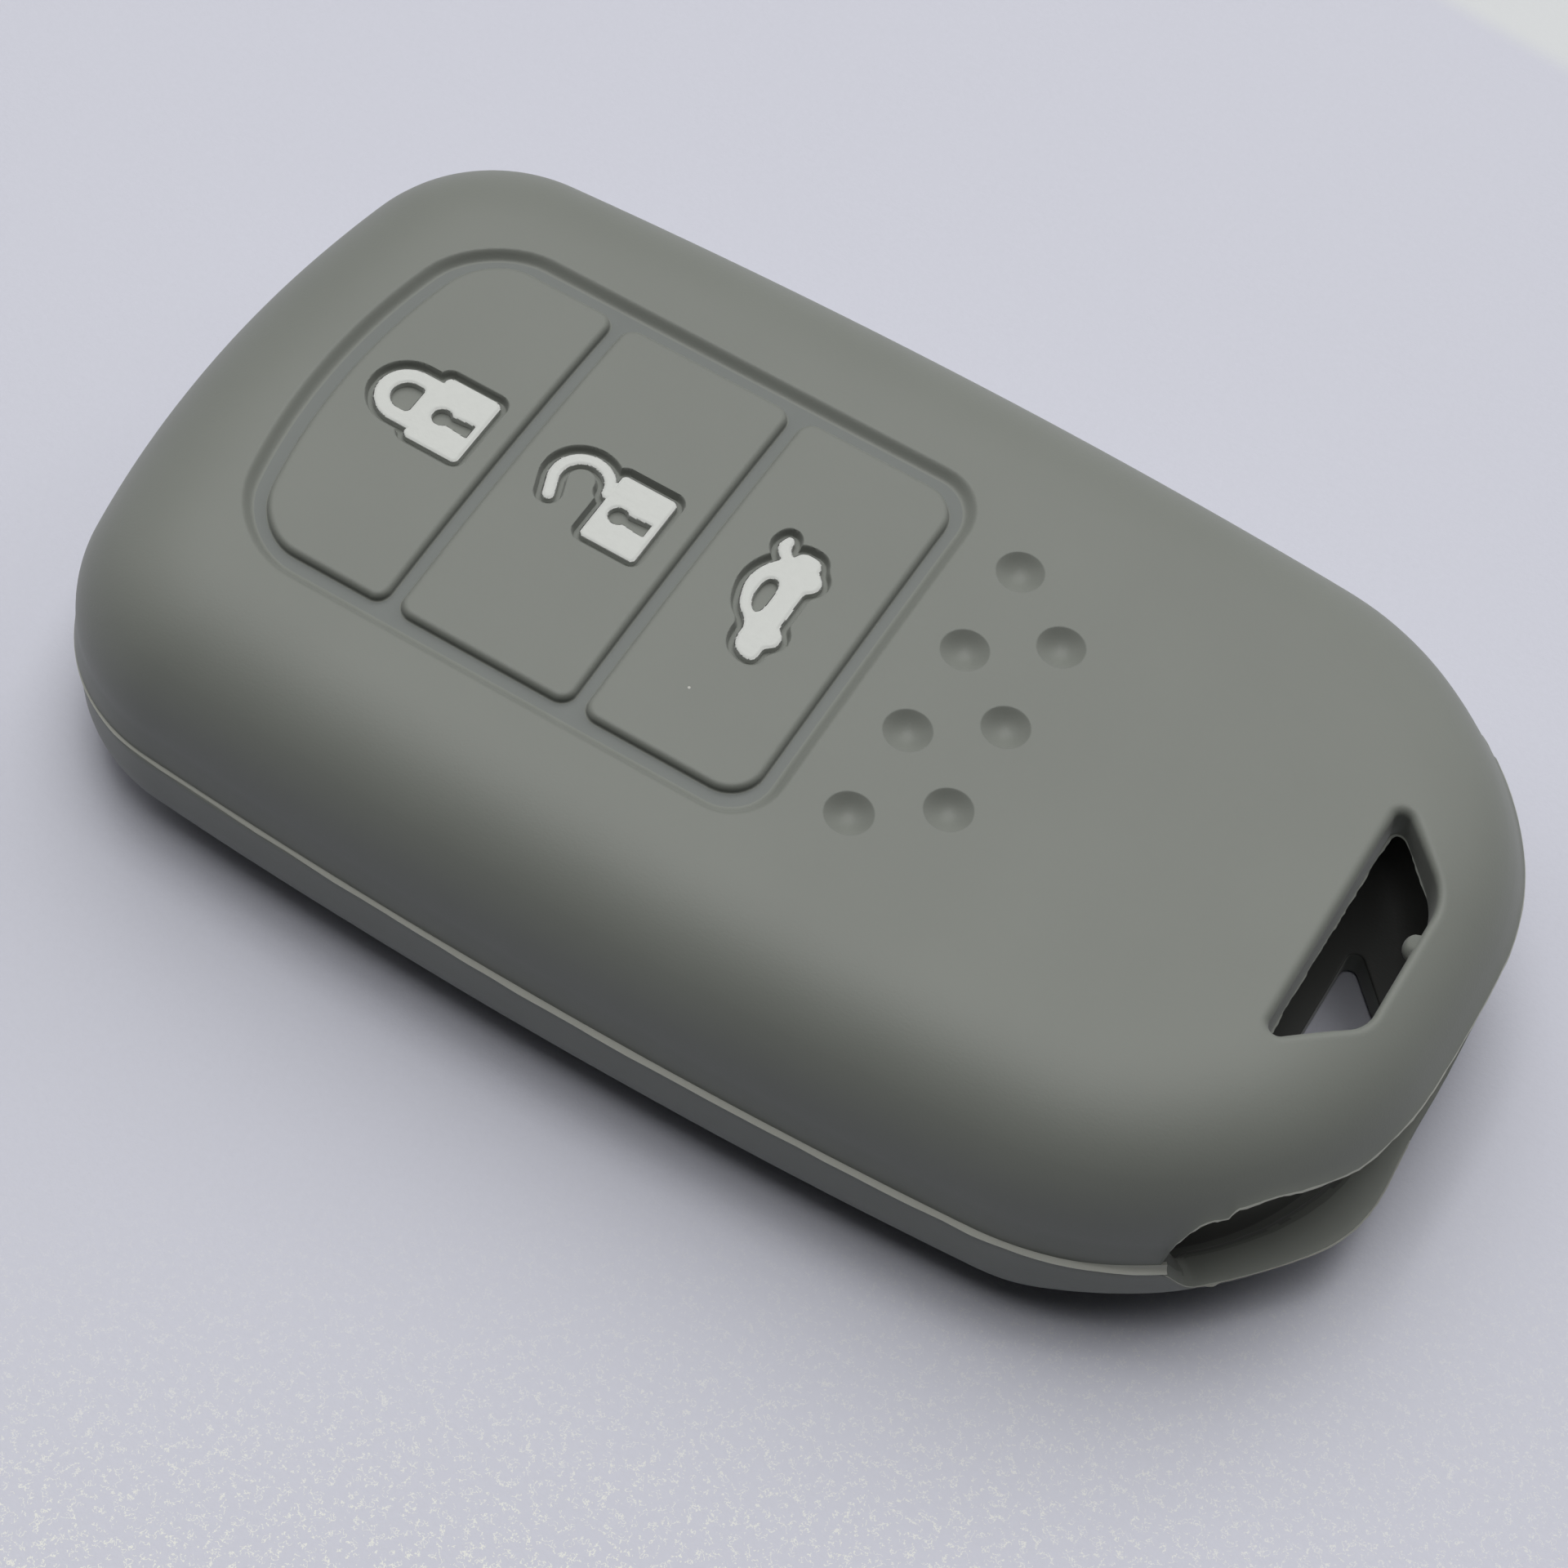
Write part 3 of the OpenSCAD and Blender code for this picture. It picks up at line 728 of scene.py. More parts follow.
@dataclass
class CoverSizes:
    """Sizes of the moulding. What the frame holds is read from it, and the rest is named here."""

    tip_step: float = 0.4
    front_past: float = 0.45
    apex_from_tip: float = 35.5
    blind_corner_r: float = 9.97
    front_ring_corner_r: float = 18.0
    back_ring_corner_r: float = 17.0
    face_t: float = 2.2
    side_t: float = 1.6
    back_t: float = 2.0
    wall_h: float = 1.85
    wall_draft: float = 0.2
    edge_run: float = 7.65
    edge_power: float = 2.2
    back_edge_r: float = 5.0
    back_draft: float = 0.06
    mouth_l: float = 7.25
    rim_h: float = 4.8
    dip_l: float = 1.9
    dip_before: float = 0.1
    rim_bulge: Bell = Bell(0.75, 9.2, 4.2)
    back_sweep: float = 0.9
    sweep_rounds: int = 5
    slot_from_tip: float = 4.19
    slot_l: float = 4.14
    front_slot: SlotCut = SlotCut(0.5, 0.05, (0.05, 0.2), nub=True)
    back_slot: SlotCut = SlotCut(0.12, 0.4, (0.6, 0.6))
    lip_edge_r: float = 0.05
    lip_flare: float = 0.2
    lip_flare_h: float = 1.5
    lip_fade: float = 0.5
    lip_tears: tuple[Tear, Tear] = (Tear(0.07, 0.6, 3), Tear(0.04, 0.22, 4))
    lip_smooth_h: float = 0.6
    lip_torn_h: float = 3.0
    rim_tears: tuple[Tear, Tear] = (Tear(0.06, 0.6, 8), Tear(0.03, 0.2, 9))
    rim_torn_l: float = 0.8
    groove_depth: float = 0.5
    window_out: float = 0.42
    window_in: float = 0.3
    overlap: float = 0.05
    top: float = field(init=False)
    parting: float = field(init=False)
    blind_tip: float = field(init=False)
    ring_tip: float = field(init=False)
    mouth_x: float = field(init=False)
    ceiling: float = field(init=False)
    front: Outline = field(init=False)
    back: Outline = field(init=False)
    columns: Columns = field(init=False)
    face_arch: Arch = field(init=False)
    ceiling_arch: Arch = field(init=False)
    floor_arch: Arch = field(init=False)
    under_arch: Arch = field(init=False)

    def __post_init__(self) -> None:
        """Read the frame's boxes and work out the outlines and the arches."""
        front_low, front_high = frame_box("front_half")
        back_high = frame_box("back_half")[1]
        self.top = float(front_high[2])
        self.parting = float(back_high[2])
        self.blind_tip = float(front_low[0])
        self.ring_tip = -self.blind_tip
        self.mouth_x = self.ring_tip - self.mouth_l
        apex = self.blind_tip + self.apex_from_tip
        self.front = Outline(self.blind_tip, self.ring_tip + self.front_past, float(front_high[1]), apex,
                             self.blind_corner_r, self.front_ring_corner_r)
        self.back = Outline(self.blind_tip + self.tip_step, self.ring_tip + self.back_draft,
                            float(back_high[1]), apex, self.blind_corner_r, self.back_ring_corner_r)
        self.columns = Columns(self.mouth_x)
        self.ceiling = self.top - self.face_t
        spring, run = self.parting + self.wall_h, self.edge_run - self.side_t
        self.face_arch = Arch(self.wall_draft, self.edge_run, spring, self.top - spring, self.edge_power)
        self.ceiling_arch = Arch(self.side_t + self.wall_draft, run, spring, self.ceiling - spring)
        self.floor_arch = Arch(self.side_t, self.back_edge_r - self.side_t, self.back_edge_r,
                               self.back_t - self.back_edge_r)
        self.under_arch = Arch(self.back_draft, self.back_edge_r, self.rim_h, -self.rim_h)

    def slot(self, lean: float = 0.0) -> Trapezoid:
        """Return the key-ring slot, its long side moved in by a lean."""
        x1 = self.ring_tip - self.slot_from_tip
        return Trapezoid(x1 - self.slot_l + lean, x1)

    def over(self, arch: Arch) -> Surface:
        """Return an arch's height over plan points, by how far inside the front half's outline they lie."""
        return lambda points: arch.height(self.front.inset_of(points))

    def underside(self) -> Surface:
        """Return the back face's height over plan points.

        It is its arch over the inset less the sweep, which itself depends a little on the height, so the height
        is found in a few rounds.

        Returns:
            A function from plan points to heights.
        """
        def height(points: Array) -> Array:
            """Return the back face's height.

            Args:
                points: Plan points.

            Returns:
                The height at each point.
            """
            inset, x = self.back.reach_of(points)
            level = np.zeros(len(points))
            for _ in range(self.sweep_rounds):
                level = self.under_arch.height(inset - self.sweep(x, level))
            return level
        return height

    def sweep(self, x: Array, height: Array) -> Array:
        """Return how much further in the back half lies toward the ring end: nothing from the rim up, and one
        less the square of the height over the rim's below it.

        Args:
            x: X of each column.
            height: Height at each column.

        Returns:
            One inset for each column.
        """
        part = eased((x - self.mouth_x + self.mouth_l) / self.mouth_l)
        return self.back_sweep * part * np.clip(1 - (height / self.rim_h) ** 2, 0.0, 1.0)

    def undrafted(self, height: Array | float) -> Array:
        """Return how far out the front half's upright wall lies at some heights by its draft."""
        return self.wall_draft * np.clip(1 - (height - self.parting) / self.wall_h, 0.0, 1.0)

    def front_wall(self, height: Array | float) -> Array:
        """Return the inset of the front half's outer wall at some heights."""
        return self.face_arch.inset(height) - self.undrafted(height)

    def front_inner_wall(self, height: Array | float) -> Array:
        """Return the inset of the front half's inner wall at some heights."""
        return self.ceiling_arch.inset(height) - self.undrafted(height)

    def bulge(self, places: Array, height: Array) -> Array:
        """Return how far the back half leans out beside the ring end, on the near side: a bell over the length
        along the outline, that fades with the square of the height below the rim."""
        along = 2 * self.front.half_length() - places
        return self.rim_bulge.at(along) * np.clip(height / self.rim_h, 0.0, 1.0) ** 2

    def back_wall(self, height: Array) -> Array:
        """Return the inset of the back half's outer wall at some heights, without the sweep."""
        part = (height - self.rim_h) / (self.parting - self.rim_h)
        return self.under_arch.inset(height) - self.back_draft * np.clip(part, 0.0, 1.0)

    def flare(self, edge: Array) -> Array:
        """Return how far the front half's lower edge bends outward along the open end, by its height."""
        return self.lip_flare * eased((edge - self.parting) / self.lip_flare_h)

    def lip(self, places: Array) -> Array:
        """Return the height of the front half's lower edge: the parting line, and along the open end a line
        through the heights of a trimmed lip, the same on both sides, with small tears.

        Args:
            places: Length along the outline of each column.

        Returns:
            One height for each column.
        """
        along = np.minimum(places, 2 * self.front.half_length() - places)
        rise = np.interp(along, *np.array(LIP_LINE).T)
        tears = sum(tear.at(places) for tear in self.lip_tears)
        return self.parting + rise + tears * eased((rise - self.lip_smooth_h) / self.lip_torn_h)

    def rim(self, x: Array, places: Array) -> Array:
        """Return the height of the back half's upper edge: the parting line, lower past the mouth's corner.

        Args:
            x: X of each column.
            places: Length along the outline of each column.

        Returns:
            One height for each column.
        """
        past = x - self.mouth_x
        fall = eased((past + self.dip_before) / self.dip_l) * (self.parting - self.rim_h)
        tears = sum(tear.at(places) for tear in self.rim_tears)
        return self.parting - fall + tears * eased(past / self.rim_torn_l)


def lifted(points: Array, height: Array | float) -> Array:
    """Return plan points with a height each."""
    return np.column_stack([points, np.broadcast_to(height, len(points))])


def laid(plan: Array, surface: Surface, lift: float = 0.0) -> Array:
    """Return plan points laid on a surface, or above it by a lift."""
    return lifted(plan, surface(plan) + lift)


def wall_ring(base: tuple[Array, Array], inset: Array | float, height: Array | float) -> Array:
    """Return a ring of a wall: the outline's points moved inward along their normals, at a height."""
    points, normals = base
    return lifted(points - normals * np.broadcast_to(inset, len(points))[:, None], height)


def ring_points(outline: Outline, insets: Sequence[float], spacing: float) -> Array:
    """Return points on the rings of an outline moved inward, about a spacing apart.

    Args:
        outline: The outline.
        insets: How far inward each ring is.
        spacing: Distance between two points of a ring.

    Returns:
        Plan points of all rings.
    """
    count = int(2 * outline.half_length() / spacing)
    places = np.linspace(0.0, 2 * outline.half_length(), count, endpoint=False)
    points, normals = outline.at(places)
    return np.concatenate([points - normals * inset for inset in insets])


class Side(Enum):
    """The two halves of the moulding."""

    FRONT = "front"
    BACK = "back"


@dataclass(frozen=True)
class Nub:
    """The moulding's small nub in the slot: half a dome.

    Attributes:
        reach: How far it stands out.
        y: Y of its middle.
        z: Height of its middle.
        half_w: Half of its width.
        half_h: Half of its height.
        hold: How near the slot's short side a point lies that it moves.
    """

    reach: float = 0.6
    y: float = 0.95
    z: float = 14.2
    half_w: float = 0.72
    half_h: float = 0.7
    hold: float = 0.1

    def over(self, points: Array) -> Array:
        """Return how far it stands out over some points: its reach times the root of one less the squares of
        the two distances over its half width and half height."""
        span = ((points[:, 1] - self.y) / self.half_w) ** 2 + ((points[:, 2] - self.z) / self.half_h) ** 2
        return self.reach * np.sqrt(np.clip(1 - span, 0.0, 1.0))


@dataclass
class Shell:
    """The moulding's two halves, from inner skin to outer skin, with all that is sunk in them."""

    sizes: CoverSizes
    window: Bar
    inner_top: float = 12.3
    outer_top: float = 12.6
    under_z: float = 0.7
    floor_z: float = 2.7
    rim_edge_r: float = 0.1
    rim_seam: Tear = Tear(0.05, 2.4, 21)
    rim_step: float = 0.1
    rim_fall: float = 1.7
    rim_fall_l: float = 2.0
    nub: Nub = Nub()
    support: float = 0.12
    face_cell: float = 0.5
    ceiling_cell: float = 0.9
    back_cell: float = 0.7
    dimple_d: float = 2.35
    dimple_depth: float = 0.7
    dimple_power: float = 1.15
    dimple_pitch: float = 5.87
    dimple_row: float = 4.02
    dimple_margin: float = 3.76
    dimple_spread: float = 0.12
    dimple_sides: int = 48
    dimple_rows: int = 22
    edge_steps: int = 3
    rim_steps: int = 6
    window_rows: int = 18
    slot_rows: int = 14
    inner_rows: int = 9
    outer_rows: int = 22
    back_rows: int = 15
    face_rings: int = 26
    ceiling_rings: int = 12
    floor_rings: int = 10
    under_rings: int = 14
    # Insets at which the inside's painted shade steps darker
    bands: tuple[float, ...] = (0.5, 2.0, 3.0)
    band_slack: float = 0.06

    def window_rings(self) -> list[Array]:
        """Return the rings of the window's wall: its depth is a smooth step over the inset.

        Returns:
            The rings, from the face in.
        """
        s, steps = self.sizes, np.linspace(0.0, 1.0, self.window_rows)
        insets = [-s.window_out - self.support, *(s.window_in * steps - s.window_out * (1 - steps)),
                  s.window_in + s.overlap]
        depths = [0.0, *(s.groove_depth * eased(steps)), s.groove_depth]
        return [lifted(self.window.loop(inset), s.top - depth) for inset, depth in zip(insets, depths)]

    def slot_rings(self, upper: Surface, lower: Surface, cut: SlotCut) -> list[Array]:
        """Return the rings of the key-ring slot through one wall, with both rims rounded.

        Args:
            upper: Height of the upper surface.
            lower: Height of the lower surface.
            cut: How the slot passes through.

        Returns:
            The rings, from the upper surface down.
        """
        head, tail = (self.sizes.slot(lean) for lean in cut.leans)
        downs = [(0.0, cut.rim + self.support), *rounding(cut.rim, self.rim_steps)]
        ups = [*rounding(cut.foot, self.rim_steps), (cut.foot + self.support, 0.0)]
        top = [laid(head.loop(grow), upper, -drop) for drop, grow in downs]
        foot = [laid(tail.loop(grow), lower, rise) for grow, rise in ups]
        shares = np.linspace(0.0, 1.0, self.slot_rows)[1:-1]
        middle = [top[-1] + (foot[0] - top[-1]) * share for share in shares]
        if cut.nub:
            for ring in [top[-1], *middle, *foot[:-1]]:
                short_side = ring[:, 0] > head.x1 - self.nub.hold
                ring[:, 0] -= np.where(short_side, self.nub.over(ring), 0.0)
        return [*top, *middle, *foot]

    def dimple_places(self) -> Array:
        """Return the dimples' places: a column of four, then a column of three set between them.

        Returns:
            Their middles in plan.
        """
        first = self.window.x1 + self.dimple_margin
        return np.array([(x, (i - (count - 1) / 2) * self.dimple_pitch)
                         for x, count in ((first, 4), (first + self.dimple_row, 3)) for i in range(count)])

    def bowl(self, place: Array) -> list[Array]:
        """Return a dimple's rings: its depth goes with one less the square of the share of the radius, to a
        power that lets the bowl run out softly into the face.

        Args:
            place: Its middle in plan.

        Returns:
            The rings, from the face in.
        """
        turns = np.linspace(0.0, TURN, self.dimple_sides, endpoint=False)
        outer = self.dimple_d / 2 + self.dimple_spread
        radii = np.append(outer + self.support / 2, outer * np.sqrt(np.linspace(1.0, 0.0, self.dimple_rows)))
        depths = self.dimple_depth * np.clip(1 - (radii / outer) ** 2, 0.0, 1.0) ** self.dimple_power
        return [lifted(place + radius * unit(turns), self.sizes.top - depth)
                for radius, depth in zip(radii, depths)]

    def line(self, piece: bpy.types.Object, surface: Surface, side: int) -> None:
        """Number the inside faces by how far in they lie, so that each band can have its own material: a
        painted shade, darker further in.

        Args:
            piece: The half.
            surface: Height of the inner side over plan points.
            side: 1 if the inside lies below that surface, -1 if above it.
        """
        centres = np.empty(3 * len(piece.data.polygons))
        piece.data.polygons.foreach_get("center", centres)
        centres = centres.reshape(-1, 3) / MM
        inset = self.sizes.front.inset_of(centres[:, :2])
        lined = side * (surface(centres[:, :2]) - centres[:, 2]) > -self.band_slack
        bands = np.searchsorted(self.bands, inset) * (lined & np.isfinite(inset))
        piece.data.polygons.foreach_set("material_index", bands.astype(np.int32))

    def front(self) -> bpy.types.Object:
        """Build the front half: ceiling, inner wall, lip, outer wall, face, window, dimples and slot.

        Returns:
            The piece.
        """
        s, r = self.sizes, self.sizes.lip_edge_r
        form, rings = Form(), []
        base = s.columns.of(s.front, s.front)
        edge = s.lip(run_along(base[0]))
        thick = s.front_inner_wall(edge) - s.front_wall(edge)
        flare, start = s.flare(edge), edge + r
        for part in np.linspace(0.0, 1.0, self.inner_rows):
            height = self.inner_top + (start - self.inner_top) * part
            rings.append(wall_ring(base, s.front_inner_wall(height), height))
        inner, outer = s.front_inner_wall(start), s.front_wall(start)
        for way, rise in rounding(r, self.edge_steps)[1:]:
            rings.append(wall_ring(base, inner - way, edge + rise))
        rings.append(wall_ring(base, outer + thick / 2, edge))
        for way, rise in rounding(r, self.edge_steps)[:0:-1]:
            rings.append(wall_ring(base, outer - flare + way, edge + rise))
        for part in np.linspace(0.0, 1.0, self.outer_rows) ** 2:
            height = start + (self.outer_top - start) * part
            fading = flare * np.exp(-(height - start) / s.lip_fade) * (1 - part)
            rings.append(wall_ring(base, s.front_wall(height) - fading, height))
        form.strip(rings)

        face, ceiling = s.over(s.face_arch), s.over(s.ceiling_arch)
        slot = self.slot_rings(face, ceiling, s.front_slot)
        cuts = [self.window_rings(), *(self.bowl(place) for place in self.dimple_places()), slot]
        for cut in cuts:
            form.strip(cut)
        outer_ring = wall_ring(base, s.front_wall(self.outer_top), self.outer_top)[:, :2]
        insets = s.face_arch.insets(self.outer_top, self.face_rings)
        form.sheet(outer_ring, [cut[0][:, :2] for cut in cuts], ring_points(s.front, insets, self.face_cell),
                   face)
        inner_ring = wall_ring(base, s.front_inner_wall(self.inner_top), self.inner_top)[:, :2]
        insets = s.ceiling_arch.insets(self.inner_top, self.ceiling_rings)
        form.sheet(inner_ring, [slot[-1][:, :2]], ring_points(s.front, insets, self.ceiling_cell), ceiling,
                   down=True)
        piece = form.mesh("front_shell")
        self.line(piece, ceiling, 1)
        return piece

    def back(self) -> bpy.types.Object:
        """Build the back half: underside, outer wall, rim, inner wall, floor and slot.

        Returns:
            The piece.
        """
        s, r = self.sizes, self.rim_edge_r
        form, rings = Form(), []
        base, core = s.columns.of(s.back, s.front), s.columns.of(s.front, s.front)
        x, places = core[0][:, 0], run_along(core[0])
        edge, seam = s.rim(x, places), self.rim_seam.at(places)
        for part in np.linspace(0.0, 1.0, self.back_rows):
            height = self.under_z + (edge - r - self.under_z) * part
            outer = s.back_wall(height) + s.sweep(base[0][:, 0], height) + seam * part - s.bulge(places, height)
            rings.append(wall_ring(base, outer, height))
        for way, drop in rounding(r, self.edge_steps)[1:]:
            rings.append(wall_ring(base, outer + way, edge - drop))
        crest, fall = rings[-1], self.rim_fall * eased((x - s.mouth_x) / self.rim_fall_l) + self.rim_step
        across = (wall_ring(core, s.floor_arch.inset(edge - fall), 0.0) - crest) * [1.0, 1.0, 0.0]
        for drop, left in rounding(1.0, 2 * self.rim_steps)[1:]:
            rings.append(crest + across * (1 - left) - (fall * drop)[:, None] * [0.0, 0.0, 1.0])
        for part in np.linspace(0.0, 1.0, self.inner_rows)[1:]:
            height = edge - fall + (self.floor_z - edge + fall) * part
            rings.append(wall_ring(core, s.floor_arch.inset(height), height))
        form.strip(rings)

        floor, under = s.over(s.floor_arch), s.underside()
        slot = self.slot_rings(floor, under, s.back_slot)
        form.strip(slot)
        floor_ring = wall_ring(core, s.floor_arch.inset(self.floor_z), self.floor_z)[:, :2]
        insets = s.floor_arch.insets(self.floor_z, self.floor_rings)
        form.sheet(floor_ring, [slot[0][:, :2]], ring_points(s.front, insets, self.back_cell), floor)
        insets = s.under_arch.insets(self.under_z, self.under_rings)
        form.sheet(rings[0][:, :2], [slot[-1][:, :2]], ring_points(s.back, insets, self.back_cell), under,
                   down=True)
        piece = form.mesh("back_shell")
        self.line(piece, floor, -1)
        return piece


@dataclass(frozen=True)
class Ledge:
    """The pale bead on the parting line's ledge, on one side of the cover; its paleness is partly whitened
    silicone and partly a painted highlight.

    Its reach and rise grow toward the mouth's corner, where it ends, and its edge is a little ragged.

    Attributes:
        name: Name of the piece.
        side: One for the far side, minus one for the near side.
        rough: The ragged edge.
        from_tip: Where it starts, from the blind tip.
        past_mouth: Where it ends, from the mouth's corner.
        fade_l: Length over which it grows from nothing.
        reach: How far it lies out.
        more_reach: How much further it lies out past its middle.
        reach_start: X where that begins.
        reach_l: Length over which that grows.
        rise: How high it stands.
        more_rise: How much higher it stands near the mouth.
        rise_start: X where that begins.
        rise_l: Length over which that grows.
        lift: How far above the parting line its edge lies.
        thick: How far below the parting line its underside lies.
        root: How far its top goes into the wall.
        low_root: How far its underside goes into the wall.
        steps: Steps of its curve.
    """

    name: str
    side: int
    rough: Tear
    from_tip: float = 1.2
    past_mouth: float = 0.2
    fade_l: float = 9.0
    reach: float = 0.17
    more_reach: float = 0.16
    reach_start: float = -30.0
    reach_l: float = 30.0
    rise: float = 0.05
    more_rise: float = 0.29
    rise_start: float = 26.0
    rise_l: float = 5.0
    lift: float = 0.03
    thick: float = 0.04
    root: float = 0.2
    low_root: float = 0.3
    steps: int = 4

    def build(self, s: CoverSizes) -> bpy.types.Object:
        """Build the bead: a concave quarter ellipse from the front half's wall out past the ledge.

        Args:
            s: Sizes of the moulding.

        Returns:
            The piece.
        """
        points, normals = s.columns.of(s.front, s.front)
        start, end = s.blind_tip + self.from_tip, s.mouth_x + self.past_mouth
        run = (points[:, 1] * self.side > 0) & (points[:, 0] > start) & (points[:, 0] < end)
        x, base = points[run, 0], (points[run], normals[run])
        wider = self.more_reach * eased((x - self.reach_start) / self.reach_l)
        reach = (self.reach + wider + self.rough.at(run_along(points[run]))) * eased((x - start) / self.fade_l)
        rise = self.rise + self.more_rise * eased((x - self.rise_start) / self.rise_l)
        low = s.parting - self.thick
        rings = [wall_ring(base, self.root, s.parting + rise)]
        for out, left in rounding(1.0, self.steps):
            rings.append(wall_ring(base, -reach * out, s.parting + self.lift + rise * left))
        rings += [wall_ring(base, self.thick / 2 - reach, low), wall_ring(base, self.low_root, low)]
        return ribbon(self.name, np.stack(rings, axis=1))


@dataclass(frozen=True)
class Flash:
    """A slender torn edge that the mould left: a ribbon past an edge of the moulding.

    Attributes:
        name: Name of the piece.
        thick: Its thickness.
        least: Its least width past the edge.
        most: Its greatest width.
        seed: Seed of its tears.
        tab: Height of a small torn tab.
        tab_at: Place of the tab along the edge.
        tab_half_w: Half of the tab's width.
        pitches: Distances between its coarse and its fine tears.
        coarse: The coarse tears' share.
        fade_l: Length over which it runs out at each end.
        root: How far it goes into the edge.
        taper: Share of the thickness that its tip keeps.
    """

    name: str
    thick: float
    least: float
    most: float
    seed: int
    tab: float = 0.0
    tab_at: float = 4.2
    tab_half_w: float = 0.4
    pitches: tuple[float, float] = (0.9, 0.25)
    coarse: float = 0.6
    fade_l: float = 0.6
    root: float = 0.06
    taper: float = 0.6

    def build(self, line: Array, out: Array, across: Array) -> bpy.types.Object:
        """Build the ribbon, whose width varies at random along the edge and runs out at both ends.

        Args:
            line: Points of the edge.
            out: Unit direction past the edge, for each point.
            across: Unit direction of the thickness, for each point.

        Returns:
            The piece.
        """
        places = run_along(line)
        first, second = (ragged(places, pitch, self.seed + i) ** 2 for i, pitch in enumerate(self.pitches))
        rough = self.coarse * first + (1 - self.coarse) * second
        ends = eased(places / self.fade_l) * eased((places[-1] - places) / self.fade_l)
        tab = self.tab * np.clip(1 - np.abs(places - self.tab_at) / self.tab_half_w, 0.0, 1.0)
        width = (self.least + (self.most - self.least) * rough + tab) * ends
        root, tip = line - self.root * out, line + width[:, None] * out
        half = across * self.thick / 2
        return ribbon(self.name, np.stack(
            [root + half, tip + half * self.taper, tip - half * self.taper, root - half], axis=1))


def ribbon(name: str, sections: Array) -> bpy.types.Object:
    """Build the closed piece through some sections, with a face at each end.

    Args:
        name: Name of the piece.
        sections: Its sections, each an equal count of points.

    Returns:
        The piece.
    """
    form = Form()
    form.strip(list(sections))
    ends = np.arange(sections.shape[1])[None]
    form.add(sections[0], ends)
    form.add(sections[-1], ends[:, ::-1])
    return form.mesh(name, outward=True)


@dataclass
class Trimmings:
    """Where the mould left something: on the lip, on the rim's way down, on the ledge, in the slot.

    Attributes:
        sizes: Sizes of the moulding.
        lip_end: Length from the ring tip to where the lip's torn edge ends.
        lip_rises: Two heights on the lip's outer side that tell its slope.
        lip_flares: The flare's shares there.
        lip_in: How far the torn edge is set in.
        rim_start: Length from the ring tip to where the rim's torn edge starts.
        rim_end: Length to where it ends.
        rim_in: How far in it lies.
        rim_drop: How far below the rim it lies.
        rim_lean: Its direction's parts, outward and up.
        slot_run: First and last point of the slot that it follows.
        slot_in: A small way into the slot, which gives its direction.
        slot_lift: How far above the ceiling it lies.
    """

    sizes: CoverSizes
    lip_end: float = 20.1
    lip_rises: tuple[float, float] = (0.04, 0.15)
    lip_flares: tuple[float, float] = (1.0, 0.78)
    lip_in: float = 0.02
    rim_start: float = 3.0
    rim_end: float = 20.35
    rim_in: float = 0.08
    rim_drop: float = 0.02
    rim_lean: tuple[float, float] = (0.8, 0.6)
    slot_run: tuple[int, int] = (90, 237)
    slot_in: float = 0.1
    slot_lift: float = 0.12

    def build(self) -> list[bpy.types.Object]:
        """Build the torn edges and the beads.

        Returns:
            The pieces.
        """
        s = self.sizes
        points, normals = s.columns.of(s.front, s.front)
        places, total = run_along(points), 2 * s.front.half_length()
        order = np.argsort((places + total / 2) % total)
        along = np.minimum(places, total - places)
        chosen = order[along[order] < self.lip_end]
        base, edge = (points[chosen], normals[chosen]), s.lip(places)[chosen]
        low, high = (wall_ring(base, s.front_wall(edge + rise) - part * s.flare(edge), edge + rise)
                     for rise, part in zip(self.lip_rises, self.lip_flares))
        out = (low - high) / np.linalg.norm(low - high, axis=1)[:, None]
        across = np.column_stack([normals[chosen] * -out[:, 2:], np.hypot(out[:, 0], out[:, 1])])
        lip = Flash("lip_flash", thick=0.06, least=0.0, most=0.13, seed=51).build(
            low - self.lip_in * across, out, across)

        near = order[(along[order] < self.rim_end) & (along[order] > self.rim_start) & (points[order, 1] < 0)]
        base = tuple(part[near] for part in s.columns.of(s.back, s.front))
        edge = s.rim(points[:, 0], places)[near]
        inset = s.back_wall(edge) + self.rim_in - s.bulge(places[near], edge)
        outward, upward = self.rim_lean
        rim = Flash("rim_flash", thick=0.06, least=0.02, most=0.12, seed=57, tab=0.3).build(
            wall_ring(base, inset, edge - self.rim_drop), lifted(base[1] * outward, upward),
            lifted(base[1] * -upward, outward))

        beads = [Ledge("near_ledge", -1, Tear(0.07, 1.6, 71)).build(s),
                 Ledge("far_ledge", 1, Tear(0.07, 1.6, 83)).build(s)]

        slot, run = s.slot(s.front_slot.leans[1]), slice(*self.slot_run)
        plan, inner = slot.loop()[run], slot.loop(-self.slot_in)[run]
        out = lifted(inner - plan, 0.0)
        line = laid(plan, s.over(s.ceiling_arch), self.slot_lift)
        slot_flash = Flash("slot_flash", thick=0.05, least=0.0, most=0.17, seed=61).build(
            line, out / np.linalg.norm(out, axis=1)[:, None], np.broadcast_to([0.0, 0.0, 1.0], out.shape))
        return [lip, rim, *beads, slot_flash]


